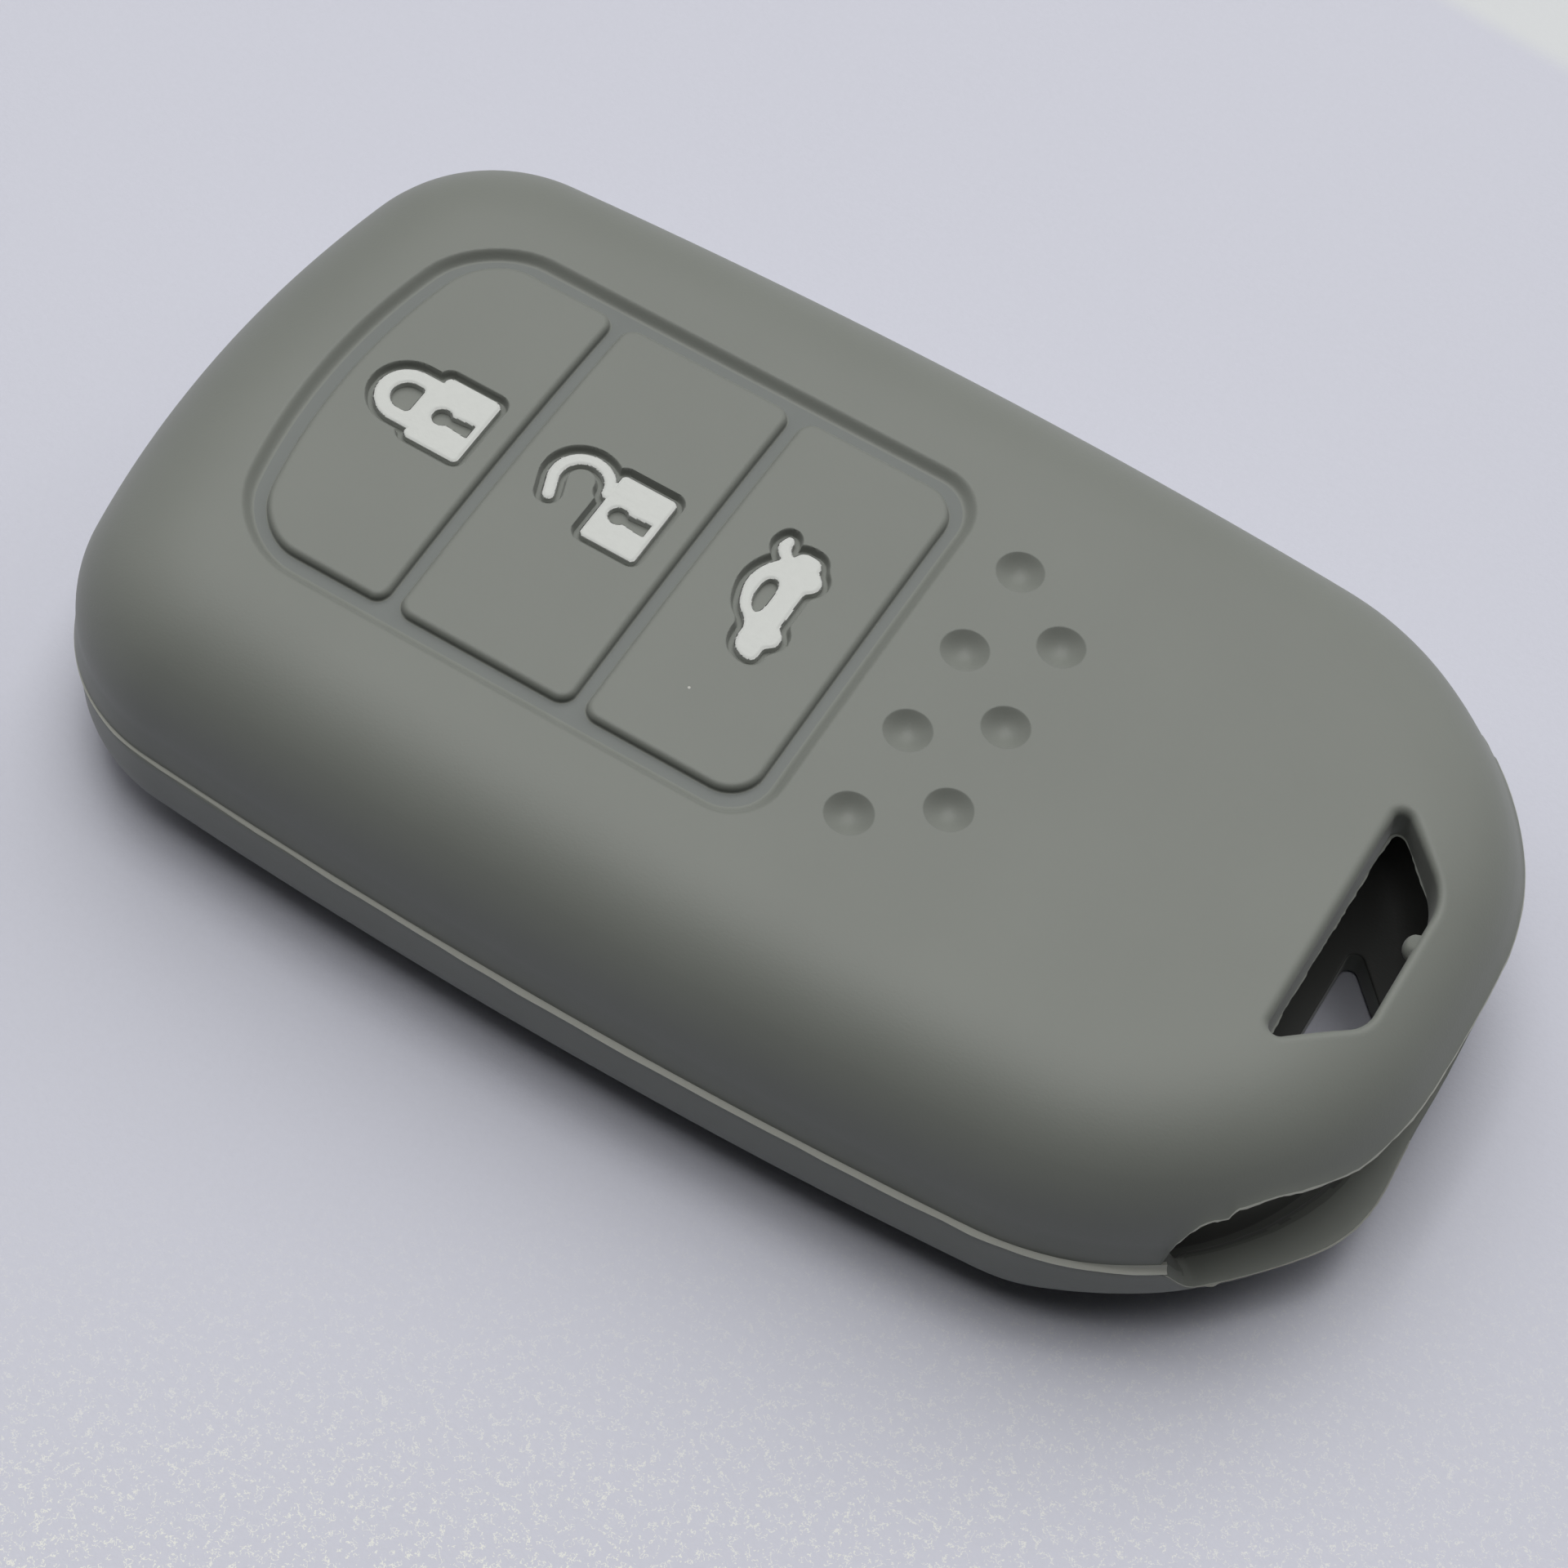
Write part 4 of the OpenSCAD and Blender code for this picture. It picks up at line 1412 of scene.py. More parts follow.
@dataclass(frozen=True)
class Field:
    """A shape in plan as signed distances, below zero inside it.

    Attributes:
        distance: Gives the distance of each plan point.
    """

    distance: Surface

    def __or__(self, other: "Field") -> "Field":
        """Return the shape that covers both."""
        return Field(lambda p: np.minimum(self.distance(p), other.distance(p)))

    def __sub__(self, other: "Field") -> "Field":
        """Return this shape without the other."""
        return Field(lambda p: np.maximum(self.distance(p), -other.distance(p)))

    def blended(self, other: "Field", reach: float) -> "Field":
        """Return the shape that covers both, with a fillet where they meet: the lesser distance, less a
        quarter of the square of how far the two are from differing by the reach, over the reach.

        Args:
            other: The other shape.
            reach: Reach of the fillet.

        Returns:
            The shape.
        """
        def distance(p: Array) -> Array:
            """Return the distances at plan points."""
            first, second = self.distance(p), other.distance(p)
            overlap = np.maximum(reach - np.abs(first - second), 0.0)
            return np.minimum(first, second) - overlap ** 2 / (4 * reach)
        return Field(distance)

    @staticmethod
    def disc(x: float, y: float, radius: float) -> "Field":
        """Return a disc: the distance from its middle less its radius."""
        return Field(lambda p: np.hypot(p[:, 0] - x, p[:, 1] - y) - radius)

    @staticmethod
    def block(x0: float, y0: float, x1: float, y1: float, radius: float = 0.0) -> "Field":
        """Return a rectangle with rounded corners: the distance from a smaller one, less the radius.

        Args:
            x0: Its lowest X.
            y0: Its lowest Y.
            x1: Its highest X.
            y1: Its highest Y.
            radius: Radius of its corners.

        Returns:
            The shape.
        """
        middle = np.array([(x0 + x1) / 2, (y0 + y1) / 2])
        half = np.array([(x1 - x0) / 2, (y1 - y0) / 2]) - radius

        def distance(p: Array) -> Array:
            """Return the distances at plan points."""
            over = np.abs(p - middle) - half
            outer = np.linalg.norm(np.maximum(over, 0.0), axis=1)
            return outer + np.minimum(over.max(axis=1), 0.0) - radius
        return Field(distance)

    @staticmethod
    def outline(points: Array, radius: float = 0.0) -> "Field":
        """Return a polygon grown by a radius: the least distance to its sides, negative inside.

        Args:
            points: Its corners.
            radius: The radius.

        Returns:
            The shape.
        """
        def distance(p: Array) -> Array:
            """Return the distances at plan points."""
            least = reach_to(p, points, np.roll(points, -1, axis=0))
            return np.where(inside(p, points), -least, least) - radius
        return Field(distance)


@dataclass(frozen=True)
class Mark:
    """A symbol.

    Attributes:
        white: Its white area.
        cleared: The whole area inside its outer line, with no hole.
    """

    white: Field
    cleared: Field


@dataclass(frozen=True)
class PadlockSizes:
    """Sizes that both padlock symbols share."""

    length: float = 3.4
    width: float = 4.6
    corner_r: float = 0.35
    keyhole_r: float = 0.52
    keyhole_from_top: float = 1.17
    keyhole_l: float = 1.68
    keyhole_neck: float = 0.4
    keyhole_foot: float = 0.72
    keyhole_round: float = 0.06
    keyhole_drop: float = 0.14

    def block(self, x: float, y: float) -> Field:
        """Return the body without its keyhole, from the middle of its upper edge."""
        half = self.width / 2
        return Field.block(x, y - half, x + self.length, y + half, self.corner_r)

    def keyhole(self, x: float, y: float) -> Field:
        """Return the keyhole: a disc and a flare below it.

        Args:
            x: X of the middle of the body's upper edge.
            y: Y of that.

        Returns:
            Its area.
        """
        hole, y = x + self.keyhole_from_top, y - self.keyhole_drop
        end, neck, foot = hole + self.keyhole_l, self.keyhole_neck / 2, self.keyhole_foot / 2
        flare = np.array([[hole, y - neck], [end, y - foot], [end, y + foot], [hole, y + neck]])
        return Field.disc(hole, y, self.keyhole_r) | Field.outline(flare, self.keyhole_round)


class Symbol(Enum):
    """The three symbols."""

    LOCK = "lock"
    UNLOCK = "unlock"
    TRUNK = "trunk"

    def mark(self, edge: float) -> Mark:
        """Return the symbol.

        Args:
            edge: X of the pad's edge toward the blind end.

        Returns:
            Its areas.
        """
        lock_from_edge, lock_y = 4.5, 0.55
        unlock_from_edge, unlock_y = 5.2, 0.35
        car_from_edge = 2.84
        if self is Symbol.LOCK:
            return self.closed_padlock(edge + lock_from_edge, lock_y)
        if self is Symbol.UNLOCK:
            return self.open_padlock(edge + unlock_from_edge, unlock_y)
        return self.car(edge + car_from_edge, 0.0)

    @staticmethod
    def closed_padlock(x: float, y: float) -> Mark:
        """Return a padlock whose shackle stands on both legs, with a hole that is flat toward the body.

        Args:
            x: X of the middle of its body's upper edge.
            y: Y of that.

        Returns:
            Its areas.
        """
        radius, band, leg, sill, overlap, soft = 1.82, 0.93, 1.05, 0.5, 0.4, 0.3
        inner, centre = radius - band, x - leg
        bow = Field.disc(centre, y, radius) | Field.block(centre, y - radius, x + overlap, y + radius)
        hole = (Field.disc(centre, y, inner) - Field.block(centre, y - radius, x + radius, y + radius)
                | Field.block(centre - soft, y - inner, x - sill, y + inner, soft))
        sizes = PadlockSizes()
        whole = sizes.block(x, y) | bow
        return Mark(whole - hole - sizes.keyhole(x, y), whole)

    @staticmethod
    def open_padlock(x: float, y: float) -> Mark:
        """Return a padlock whose hook stands on the far side, bends round and ends free.

        Args:
            x: X of the middle of its body's upper edge.
            y: Y of that.

        Returns:
            Its areas.
        """
        radius, band, reach, side, tail = 1.87, 0.72, 1.55, 0.6, 1.1
        first, last = 6.0, 200.0
        turns = np.radians(np.linspace(first, last, 40))
        bend = np.array([x - reach, y + side]) + (radius - band / 2) * unit(turns)
        route = np.concatenate([bend, bend[-1:] + tail * unit(turns[-1:] + math.pi / 2)])
        hook = Field(lambda p: reach_to(p, route[:-1], route[1:]) - band / 2)
        sizes = PadlockSizes()
        whole = sizes.block(x, y) | hook
        return Mark(whole - sizes.keyhole(x, y), whole)

    @staticmethod
    def car(x: float, y: float) -> Mark:
        """Return a car in side view with its boot lid raised, nose toward the near side.

        Args:
            x: X of the middle of its upper side.
            y: Y of that.

        Returns:
            Its areas.
        """
        size = np.array([3.5, 7.25])
        start = np.array([x, y - size[1] / 2])
        body_shares = np.array([
            [0.64, 0.00], [0.46, 0.04], [0.40, 0.12], [0.40, 0.22], [0.32, 0.29], [0.14, 0.36], [0.06, 0.45],
            [0.00, 0.57], [0.03, 0.68], [0.12, 0.78], [0.26, 0.86], [0.14, 0.90], [0.06, 0.97], [0.14, 1.07],
            [0.23, 1.04], [0.23, 0.97], [0.37, 0.90], [0.40, 0.94], [0.46, 0.99], [0.63, 1.00], [0.76, 0.98],
            [0.81, 0.90], [0.81, 0.07], [0.78, 0.01]])
        window_shares = np.array([[0.43, 0.37], [0.29, 0.42], [0.23, 0.53], [0.26, 0.67], [0.43, 0.67]])
        wheels = start + np.array([[0.77, 0.24], [0.77, 0.80]]) * size
        grown, wheel_r, fillet = 0.1, 0.735, 0.25
        whole = Field.outline(softened(start + body_shares * size), grown)
        for wheel in wheels:
            whole = whole.blended(Field.disc(*wheel, wheel_r), fillet)
        return Mark(whole - Field.outline(softened(start + window_shares * size), grown), whole)


def plane_at(height: float) -> Surface:
    """Return a level surface over plan points."""
    return lambda points: np.full(len(points), height)


@dataclass
class Buttons:
    """The three pads with their symbols, and the web between them."""

    sizes: CoverSizes
    window: Bar
    bars: dict[Symbol, Bar]
    web_t: float = 0.5
    web_under_pad: float = 0.02
    boss_h: float = 0.8
    boss_r: float = 3.0
    boss_sides: int = 48
    boss_taper: float = 0.9
    boss_edge: float = 0.3
    rim_r: float = 0.34
    foot_r: float = 0.1
    foot_sunk: float = 0.01
    foot_lift: float = 0.003
    flat_from: float = 0.1
    ink_depth: float = 0.14
    ink_t: float = 0.5
    ink_edge: float = 0.06
    ink_edge_w: float = 0.2
    moat: float = 0.28
    moat_depth: float = 0.52
    slope: float = 0.15
    cell: float = 0.045
    patch_in: tuple[float, float] = (0.6, 0.5)
    patch_y: tuple[float, float] = (-4.8, 5.0)
    rim_steps: int = 6

    def web(self) -> bpy.types.Object:
        """Build the web: groove floor with a hole for each pad, and the same below it.

        Returns:
            The piece.
        """
        s = self.sizes
        top, low = s.top - s.groove_depth, s.top - s.groove_depth - self.web_t
        border = self.window.loop(s.window_in + s.overlap)
        holes = [bar.loop(-self.web_under_pad) for bar in self.bars.values()]
        form = Form()
        form.sheet(border, holes, NO_POINTS, plane_at(top))
        form.sheet(border, holes, NO_POINTS, plane_at(low), down=True)
        form.strip([lifted(border, low), lifted(border, top)])
        for hole in holes:
            form.strip([lifted(hole, top), lifted(hole, low)])
        return form.mesh("button_web_skin")

    def recess(self, mark: Mark, points: Array) -> Array:
        """Return the depth of a symbol's recess at plan points: its flat floor reaches a moat's width past the
        symbol's outer line, and its wall eases out over the slope's width."""
        past = mark.cleared.distance(points) - self.moat
        return self.moat_depth * eased(1 - past / self.slope)

    def patch(self, bar: Bar, mark: Mark) -> tuple[Array, Array]:
        """Return the two axes of the fine grid that holds a symbol.

        Args:
            bar: The pad.
            mark: The symbol.

        Returns:
            The grid's X values and its Y values.
        """
        xs = np.arange(bar.x0 + self.patch_in[0], bar.x1 - self.patch_in[1], self.cell)
        ys = np.arange(*self.patch_y, self.cell)
        gap = mark.cleared.distance(grid_of(xs, ys).reshape(-1, 2)).reshape(len(xs), len(ys))
        near = gap < self.moat + self.slope + 2 * self.cell
        rows, columns = np.nonzero(near.any(axis=1))[0], np.nonzero(near.any(axis=0))[0]
        return xs[rows[0]:rows[-1] + 1], ys[columns[0]:columns[-1] + 1]

    def pad(self, symbol: Symbol) -> bpy.types.Object:
        """Build a pad: boss, underside, side, foot fillet, rounded rim and top with the symbol's recess.

        Args:
            symbol: Which pad.

        Returns:
            The piece.
        """
        s, bar, form = self.sizes, self.bars[symbol], Form()
        base, groove, r = s.ceiling, s.top - s.groove_depth, self.rim_r
        middle, foot = np.array([(bar.x0 + bar.x1) / 2, 0.0]), base - self.boss_h
        way = self.boss_r * unit(np.linspace(0.0, TURN, self.boss_sides, endpoint=False))
        boss = middle + way
        form.strip([lifted(middle + 0.0 * way, foot), lifted(middle + self.boss_taper * way, foot),
                    lifted(boss, foot + self.boss_edge), lifted(boss, base)])
        form.sheet(bar.loop(), [boss], NO_POINTS, plane_at(base), down=True)
        rings = [lifted(bar.loop(), base), lifted(bar.loop(), groove - self.foot_sunk)]
        for rise, spread in rounding(self.foot_r, self.rim_steps):
            rings.append(lifted(bar.loop(-spread), groove + self.foot_lift + rise))
        for way_in, drop in rounding(r, self.rim_steps):
            rings.append(lifted(bar.loop(way_in), s.top - drop))
        rings.append(lifted(bar.loop(r + self.flat_from), s.top))
        form.strip(rings)
        mark = symbol.mark(bar.x0)
        grid = grid_of(*self.patch(bar, mark))
        depth = self.recess(mark, grid.reshape(-1, 2)).reshape(grid.shape[:2])
        top = np.concatenate([grid, (s.top - depth)[..., None]], axis=-1)
        form.strip(list(top.transpose(1, 0, 2)[::-1]), closed=False)
        patch_border = np.concatenate([grid[:-1, 0], grid[-1, :-1], grid[:0:-1, -1], grid[0, :0:-1]])
        form.sheet(bar.loop(r + self.flat_from), [patch_border], NO_POINTS, plane_at(s.top))
        return form.mesh(f"{symbol.value}_pad")

    def ink(self, symbol: Symbol) -> bpy.types.Object:
        """Build a symbol's white fill: the part of a fine grid where the area's distance is below zero, cut
        along that line, and closed by a side and an underside.

        Args:
            symbol: Which symbol.

        Returns:
            The piece.
        """
        bar = self.bars[symbol]
        mark = symbol.mark(bar.x0)
        grid, white = grid_of(*self.patch(bar, mark)), mark.white
        plan = grid.reshape(-1, 2)
        index = np.arange(len(plan)).reshape(grid.shape[:2])
        a, b, c, d = (part.ravel() for part in (index[:-1, :-1], index[1:, :-1], index[1:, 1:], index[:-1, 1:]))
        tris = np.concatenate([np.stack([a, b, c], axis=1), np.stack([a, c, d], axis=1)])
        points, faces = cut_triangles(plan, white.distance(plan), tris)
        edge = self.ink_edge * (1 - eased(-white.distance(points) / self.ink_edge_w))
        high = self.sizes.top - self.ink_depth
        upper, lower = lifted(points, high - edge), lifted(points, high - self.ink_t)
        form = Form()
        form.add(upper, faces)
        form.add(lower, faces[:, ::-1])
        start, end = border_edges(faces).T
        count = len(start)
        sides = np.concatenate([upper[start], upper[end], lower[end], lower[start]])
        form.add(sides, np.arange(4 * count).reshape(4, count).T[:, ::-1])
        return form.mesh(f"{symbol.value}_fill", crease=38.0)


def cut_triangles(points: Array, level: Array, tris: Array) -> tuple[Array, Array]:
    """Return the part of some triangles where a level is below zero, cut straight along its zero line.

    Args:
        points: Plan points.
        level: The level at each point.
        tris: Triangles, counter-clockwise.

    Returns:
        New points and triangles.
    """
    below = level[tris] < 0
    count = below.sum(axis=1)
    new_points, new_tris = [points], [tris[count == 3]]
    start = len(points)

    def crossing(i: Array, j: Array) -> Array:
        """Return the points between two rows of points where the level is zero."""
        part = (level[i] / (level[i] - level[j]))[:, None]
        return points[i] + (points[j] - points[i]) * part

    for wanted in (1, 2):
        chosen, low = tris[count == wanted], below[count == wanted]
        odd = np.argmax(low if wanted == 1 else ~low, axis=1)
        order = (odd[:, None] + np.arange(3)) % 3
        p, q, r = np.take_along_axis(chosen, order, axis=1).T
        first, second = crossing(p, q), crossing(p, r)
        n = len(p)
        i, j = np.arange(n) + start, np.arange(n) + start + n
        new_points += [first, second]
        start += 2 * n
        if wanted == 1:
            new_tris.append(np.stack([p, i, j], axis=1))
        else:
            new_tris += [np.stack([i, q, r], axis=1), np.stack([i, r, j], axis=1)]
    all_points, all_tris = np.concatenate(new_points), np.concatenate(new_tris)
    used, places = np.unique(all_tris, return_inverse=True)
    return all_points[used], places.reshape(-1, 3)


def border_edges(faces: Array) -> Array:
    """Return the edges that only one triangle has, each from its first to its second point.

    Args:
        faces: Triangles.

    Returns:
        Rows of two point numbers.
    """
    edges = np.concatenate([faces[:, [0, 1]], faces[:, [1, 2]], faces[:, [2, 0]]])
    _, places, counts = np.unique(np.sort(edges, axis=1), axis=0, return_index=True, return_counts=True)
    return edges[places[counts == 1]]


class Wire:
    """A shader socket that takes part in sums and products."""

    def __init__(self, graph: "Graph", socket: bpy.types.NodeSocket) -> None:
        """Wrap a socket of a graph."""
        self.graph = graph
        self.socket = socket

    def _math(self, operation: str, first: object, second: object) -> "Wire":
        """Add a Math node on two values."""
        return self.graph.node("ShaderNodeMath", {"operation": operation}, {0: first, 1: second})

    def __add__(self, other: object) -> "Wire":
        """Return this plus the other."""
        return self._math("ADD", self, other)

    __radd__ = __add__

    def __mul__(self, other: object) -> "Wire":
        """Return this times the other."""
        return self._math("MULTIPLY", self, other)

    __rmul__ = __mul__

    def __sub__(self, other: object) -> "Wire":
        """Return this less the other."""
        return self._math("SUBTRACT", self, other)

    def __rsub__(self, other: object) -> "Wire":
        """Return the other less this."""
        return self._math("SUBTRACT", other, self)

    def __lt__(self, other: object) -> "Wire":
        """Return 1 where this is below the other, and 0 elsewhere."""
        return self._math("LESS_THAN", self, other)

    def __gt__(self, other: object) -> "Wire":
        """Return 1 where this is above the other, and 0 elsewhere."""
        return self._math("GREATER_THAN", self, other)


class Graph:
    """A material's node graph."""

    def __init__(self, name: str) -> None:
        """Make an empty material with its output.

        Args:
            name: Name of the material.
        """
        self.material = bpy.data.materials.new(name)
        self.material.use_nodes = True
        self.tree = self.material.node_tree
        self.tree.nodes.clear()
        self.output = self.tree.nodes.new("ShaderNodeOutputMaterial")

    def node(self, kind: str, settings: dict[str, object] | None = None,
             inputs: dict[int | str, object] | None = None, output: int | str = 0) -> Wire:
        """Add a node.

        Args:
            kind: The node's type.
            settings: Its own settings, set first.
            inputs: Values or wires of its sockets.
            output: Which of its outputs is returned.

        Returns:
            That output as a wire.
        """
        made = self.tree.nodes.new(kind)
        for key, value in (settings or {}).items():
            setattr(made, key, value)
        for key, value in (inputs or {}).items():
            if isinstance(value, Wire):
                self.tree.links.new(value.socket, made.inputs[key])
            else:
                made.inputs[key].default_value = value
        return Wire(self, made.outputs[output])

    def mix(self, part: Wire | float, first: object, second: object) -> Wire:
        """Mix two colours by a part."""
        return self.node("ShaderNodeMix", {"data_type": "RGBA"}, {0: part, 6: first, 7: second}, 2)

    def place(self) -> Wire:
        """Return the Object coordinates."""
        return self.node("ShaderNodeTexCoord", output="Object")

    def noise(self, place: Wire, size: float, detail: float = 2.0, roughness: float = 0.5) -> Wire:
        """Return noise from 0 to 1 whose features have a size in millimetres."""
        return self.node("ShaderNodeTexNoise", {"noise_dimensions": "3D"},
                         {"Vector": place, "Scale": 1 / (size * MM), "Detail": detail, "Roughness": roughness})

    def finish(self, inputs: dict[str, object], strength: float, depth: float,
               height: Wire) -> bpy.types.Material:
        """Set the surface and return the material.

        Args:
            inputs: The Principled shader's inputs.
            strength: Strength of the bumps.
            depth: Their depth in millimetres.
            height: Their height from 0 to 1.

        Returns:
            The material.
        """
        bump = {"Strength": strength, "Distance": depth * MM, "Height": height}
        shader = self.node("ShaderNodeBsdfPrincipled", None,
                           {**inputs, "Normal": self.node("ShaderNodeBump", None, bump)})
        self.tree.links.new(shader.socket, self.output.inputs["Surface"])
        return self.material


def srgb(red: float, green: float, blue: float) -> Color:
    """Return the linear colour of a screen colour, by the sRGB curve.

    Args:
        red: Its red from 0 to 255.
        green: Its green.
        blue: Its blue.

    Returns:
        Red, green, blue and alpha.
    """
    parts = np.array([red, green, blue]) / 255
    linear = np.where(parts <= 0.04045, parts / 12.92, ((parts + 0.055) / 1.055) ** 2.4)
    return (*(float(v) for v in linear), 1.0)


def shaded(color: Color, factor: float) -> Color:
    """Return a colour that is lighter or darker by a factor."""
    return (*(min(v * factor, 1.0) for v in color[:3]), 1.0)


@dataclass(frozen=True)
class Silicone:
    """Soft-touch silicone: matt, faintly grained, with a little dust.

    Attributes:
        name: Name of the material.
        color: Its colour.
        dust: Colour of the dust.
        roughness: Its roughness.
        rough_grain: How much the grain adds to the roughness.
        specular: Level of its mirror-like reflection.
        sheen: Weight of the soft sheen at grazing angles.
        sheen_roughness: Roughness of the sheen.
        dust_pitch: Distance between two places that may hold a speck, in millimetres.
        dust_size: Reach of a speck as a share of that distance.
        dust_chance: Share of the places that hold none.
        dust_weight: How much of its colour a speck brings.
        drift_size: Size of the colour's drift, in millimetres.
        drift: Factors of the darkest and the lightest colour.
        grain_size: Size of the fine grain, in millimetres.
        swell_size: Size of the faint unevenness, in millimetres.
        bumps: Heights of the grain and the unevenness as shares of the depth.
        bump_depth: Depth of the bumps, in millimetres.
        bump_strength: Their strength.
    """

    name: str = "soft_silicone"
    color: Color = srgb(110.5, 113.5, 107.5)
    dust: Color = srgb(190, 188, 182)
    roughness: float = 0.5
    rough_grain: float = 0.06
    specular: float = 0.35
    sheen: float = 0.12
    sheen_roughness: float = 0.5
    dust_pitch: float = 3.4
    dust_size: float = 0.022
    dust_chance: float = 0.86
    dust_weight: float = 0.7
    drift_size: float = 9.0
    drift: tuple[float, float] = (0.94, 1.05)
    grain_size: float = 0.14
    swell_size: float = 1.6
    bumps: tuple[float, float] = (0.12, 0.08)
    bump_depth: float = 0.12
    bump_strength: float = 0.5

    def make(self) -> bpy.types.Material:
        """Make the material.

        The colour drifts by a few hundredths over some millimetres, rare specks of dust lie on it, and the
        normal follows a fine grain on a faint unevenness.

        Returns:
            The material.
        """
        g = Graph(self.name)
        place = g.place()
        drift = g.noise(place, self.drift_size, detail=3.0)
        grain = g.noise(place, self.grain_size, roughness=0.6)
        swell = g.noise(place, self.swell_size)
        cells = {"Vector": place, "Scale": 1 / (self.dust_pitch * MM)}
        near, tint = (g.node("ShaderNodeTexVoronoi", {"feature": "F1"}, cells, output)
                      for output in ("Distance", "Color"))
        chance = g.node("ShaderNodeSeparateColor", None, {0: tint})
        speck = (near < self.dust_size) * (chance > self.dust_chance)
        base = g.mix(drift, *(shaded(self.color, factor) for factor in self.drift))
        return g.finish({
            "Base Color": g.mix(speck * self.dust_weight, base, self.dust),
            "Roughness": self.roughness + grain * self.rough_grain,
            "Specular IOR Level": self.specular,
            "Sheen Weight": self.sheen,
            "Sheen Roughness": self.sheen_roughness,
        }, self.bump_strength, self.bump_depth, grain * self.bumps[0] + swell * self.bumps[1])


@dataclass(frozen=True)
class WhiteFill:
    """White silicone ink: satin, with a faint mottling.

    Attributes:
        name: Name of the material.
        color: Its colour.
        roughness: Its roughness.
        rough_mottle: How much the mottling adds to the roughness.
        specular: Level of its mirror-like reflection.
        mottle_size: Size of the mottling, in millimetres.
        darkest: Factor of the darkest white.
        bump_depth: Depth of the bumps, in millimetres.
        bump_strength: Their strength.
    """

    name: str = "white_fill"
    color: Color = srgb(190, 192, 188)
    roughness: float = 0.5
    rough_mottle: float = 0.1
    specular: float = 0.4
    mottle_size: float = 0.5
    darkest: float = 0.93
    bump_depth: float = 0.1
    bump_strength: float = 0.3

    def make(self) -> bpy.types.Material:
        """Make the material: the white drifts by a few hundredths, and the surface is slightly uneven.

        Returns:
            The material.
        """
        g = Graph(self.name)
        mottle = g.noise(g.place(), self.mottle_size, detail=3.0)
        return g.finish({
            "Base Color": g.mix(mottle, shaded(self.color, self.darkest), self.color),
            "Roughness": self.roughness + mottle * self.rough_mottle,
            "Specular IOR Level": self.specular,
        }, self.bump_strength, self.bump_depth, mottle)


@dataclass(frozen=True)
class Fade:
    """A smooth step across the table, along a direction in plan.

    Attributes:
        x: Share of X in the length along the direction.
        y: Share of Y in it.
        start: Length at which the step is 0, in millimetres.
        end: Length at which it is 1, in millimetres.
    """

    x: float
    y: float
    start: float
    end: float

    def over(self, graph: Graph, x: Wire, y: Wire) -> Wire:
        """Return the step at places in metres.

        Args:
            graph: Graph that it goes into.
            x: X of the places.
            y: Y of the places.

        Returns:
            The step from 0 to 1.
        """
        along = x * self.x + y * self.y
        return graph.node("ShaderNodeMapRange", {"interpolation_type": "SMOOTHSTEP"},
                          {"Value": along, "From Min": self.start * MM, "From Max": self.end * MM})


@dataclass(frozen=True)
class Table:
    """The pale table: smooth, a little blue, with a fine grain, painted glints in front and painted light on
    its far part.

    Attributes:
        name: Name of the material.
        color: Its colour.
        glint_color: Colour of the painted glints.
        pale: Colour of the painted light on the far part.
        grain_size: Size of the grain, in millimetres.
        drift: Factors of the darkest and the lightest colour.
        glint_size: Size of the noise whose middle the painted glints follow, in millimetres.
        glint_width: Greatest square of that noise's distance from its middle.
        patch_size: Size of the patches that have painted glints, in millimetres.
        patch_least: Least noise of a patch.
        front: How the painted glints come in toward the front.
        right: How they go toward the right.
        gone: Share of them that is gone at the right.
        far: Where the painted light on the far part begins.
        roughness: Its roughness.
        specular: Level of its mirror-like reflection.
        bump_depth: Depth of the bumps, in millimetres.
        bump_strength: Their strength.
    """

    name: str = "pale_table"
    color: Color = srgb(189.5, 190.5, 200.5)
    # Colour of the painted glints, which stand in for the table's sparkle
    glint_color: Color = srgb(222, 222, 212)
    # Painted light: the far part of the table is painted paler where light falls on it
    pale: Color = srgb(198.5, 200.5, 201.5)
    grain_size: float = 0.35
    drift: tuple[float, float] = (0.97, 1.03)
    glint_size: float = 0.26
    glint_width: float = 0.0007
    patch_size: float = 0.5
    patch_least: float = 0.52
    front: Fade = Fade(0.56, -0.83, 20.0, 52.0)
    right: Fade = Fade(0.86, 0.5, -30.0, 60.0)
    gone: float = 0.6
    far: Fade = Fade(0.085, 1.0, 73.7, 75.8)
    roughness: float = 0.6
    specular: float = 0.3
    bump_depth: float = 0.1
    bump_strength: float = 0.2

    def make(self) -> bpy.types.Material:
        """Make the material.

        The painted glints are narrow lines where a fine noise passes its middle, kept where a coarser noise is
        high.
        They fade in with the distance toward the front, and fade out to the right. The painted light on the far
        part begins past a slanted line.

        Returns:
            The material.
        """
        g = Graph(self.name)
        place = g.place()
        grain = g.noise(place, self.grain_size, detail=3.0, roughness=0.7)
        x, y = (g.node("ShaderNodeSeparateXYZ", None, {0: place}, axis) for axis in (0, 1))
        line = g.noise(place, self.glint_size) - 0.5
        # Painted glints: narrow light lines painted into the table's colour
        glints = (line * line < self.glint_width) * (g.noise(place, self.patch_size) > self.patch_least)
        front, right, far = (fade.over(g, x, y) for fade in (self.front, self.right, self.far))
        # Painted light: past a slanted line the table takes the paler colour
        base = g.mix(far, g.mix(grain, *(shaded(self.color, factor) for factor in self.drift)), self.pale)
        return g.finish({
            "Base Color": g.mix(glints * (front * (1 - right * self.gone)), base, self.glint_color),
            "Roughness": self.roughness,
            "Specular IOR Level": self.specular,
        }, self.bump_strength, self.bump_depth, grain)


def dress(piece: bpy.types.Object, *materials: bpy.types.Material) -> None:
    """Give a piece its materials, in the order of its faces' numbers."""
    for material in materials:
        piece.data.materials.append(material)


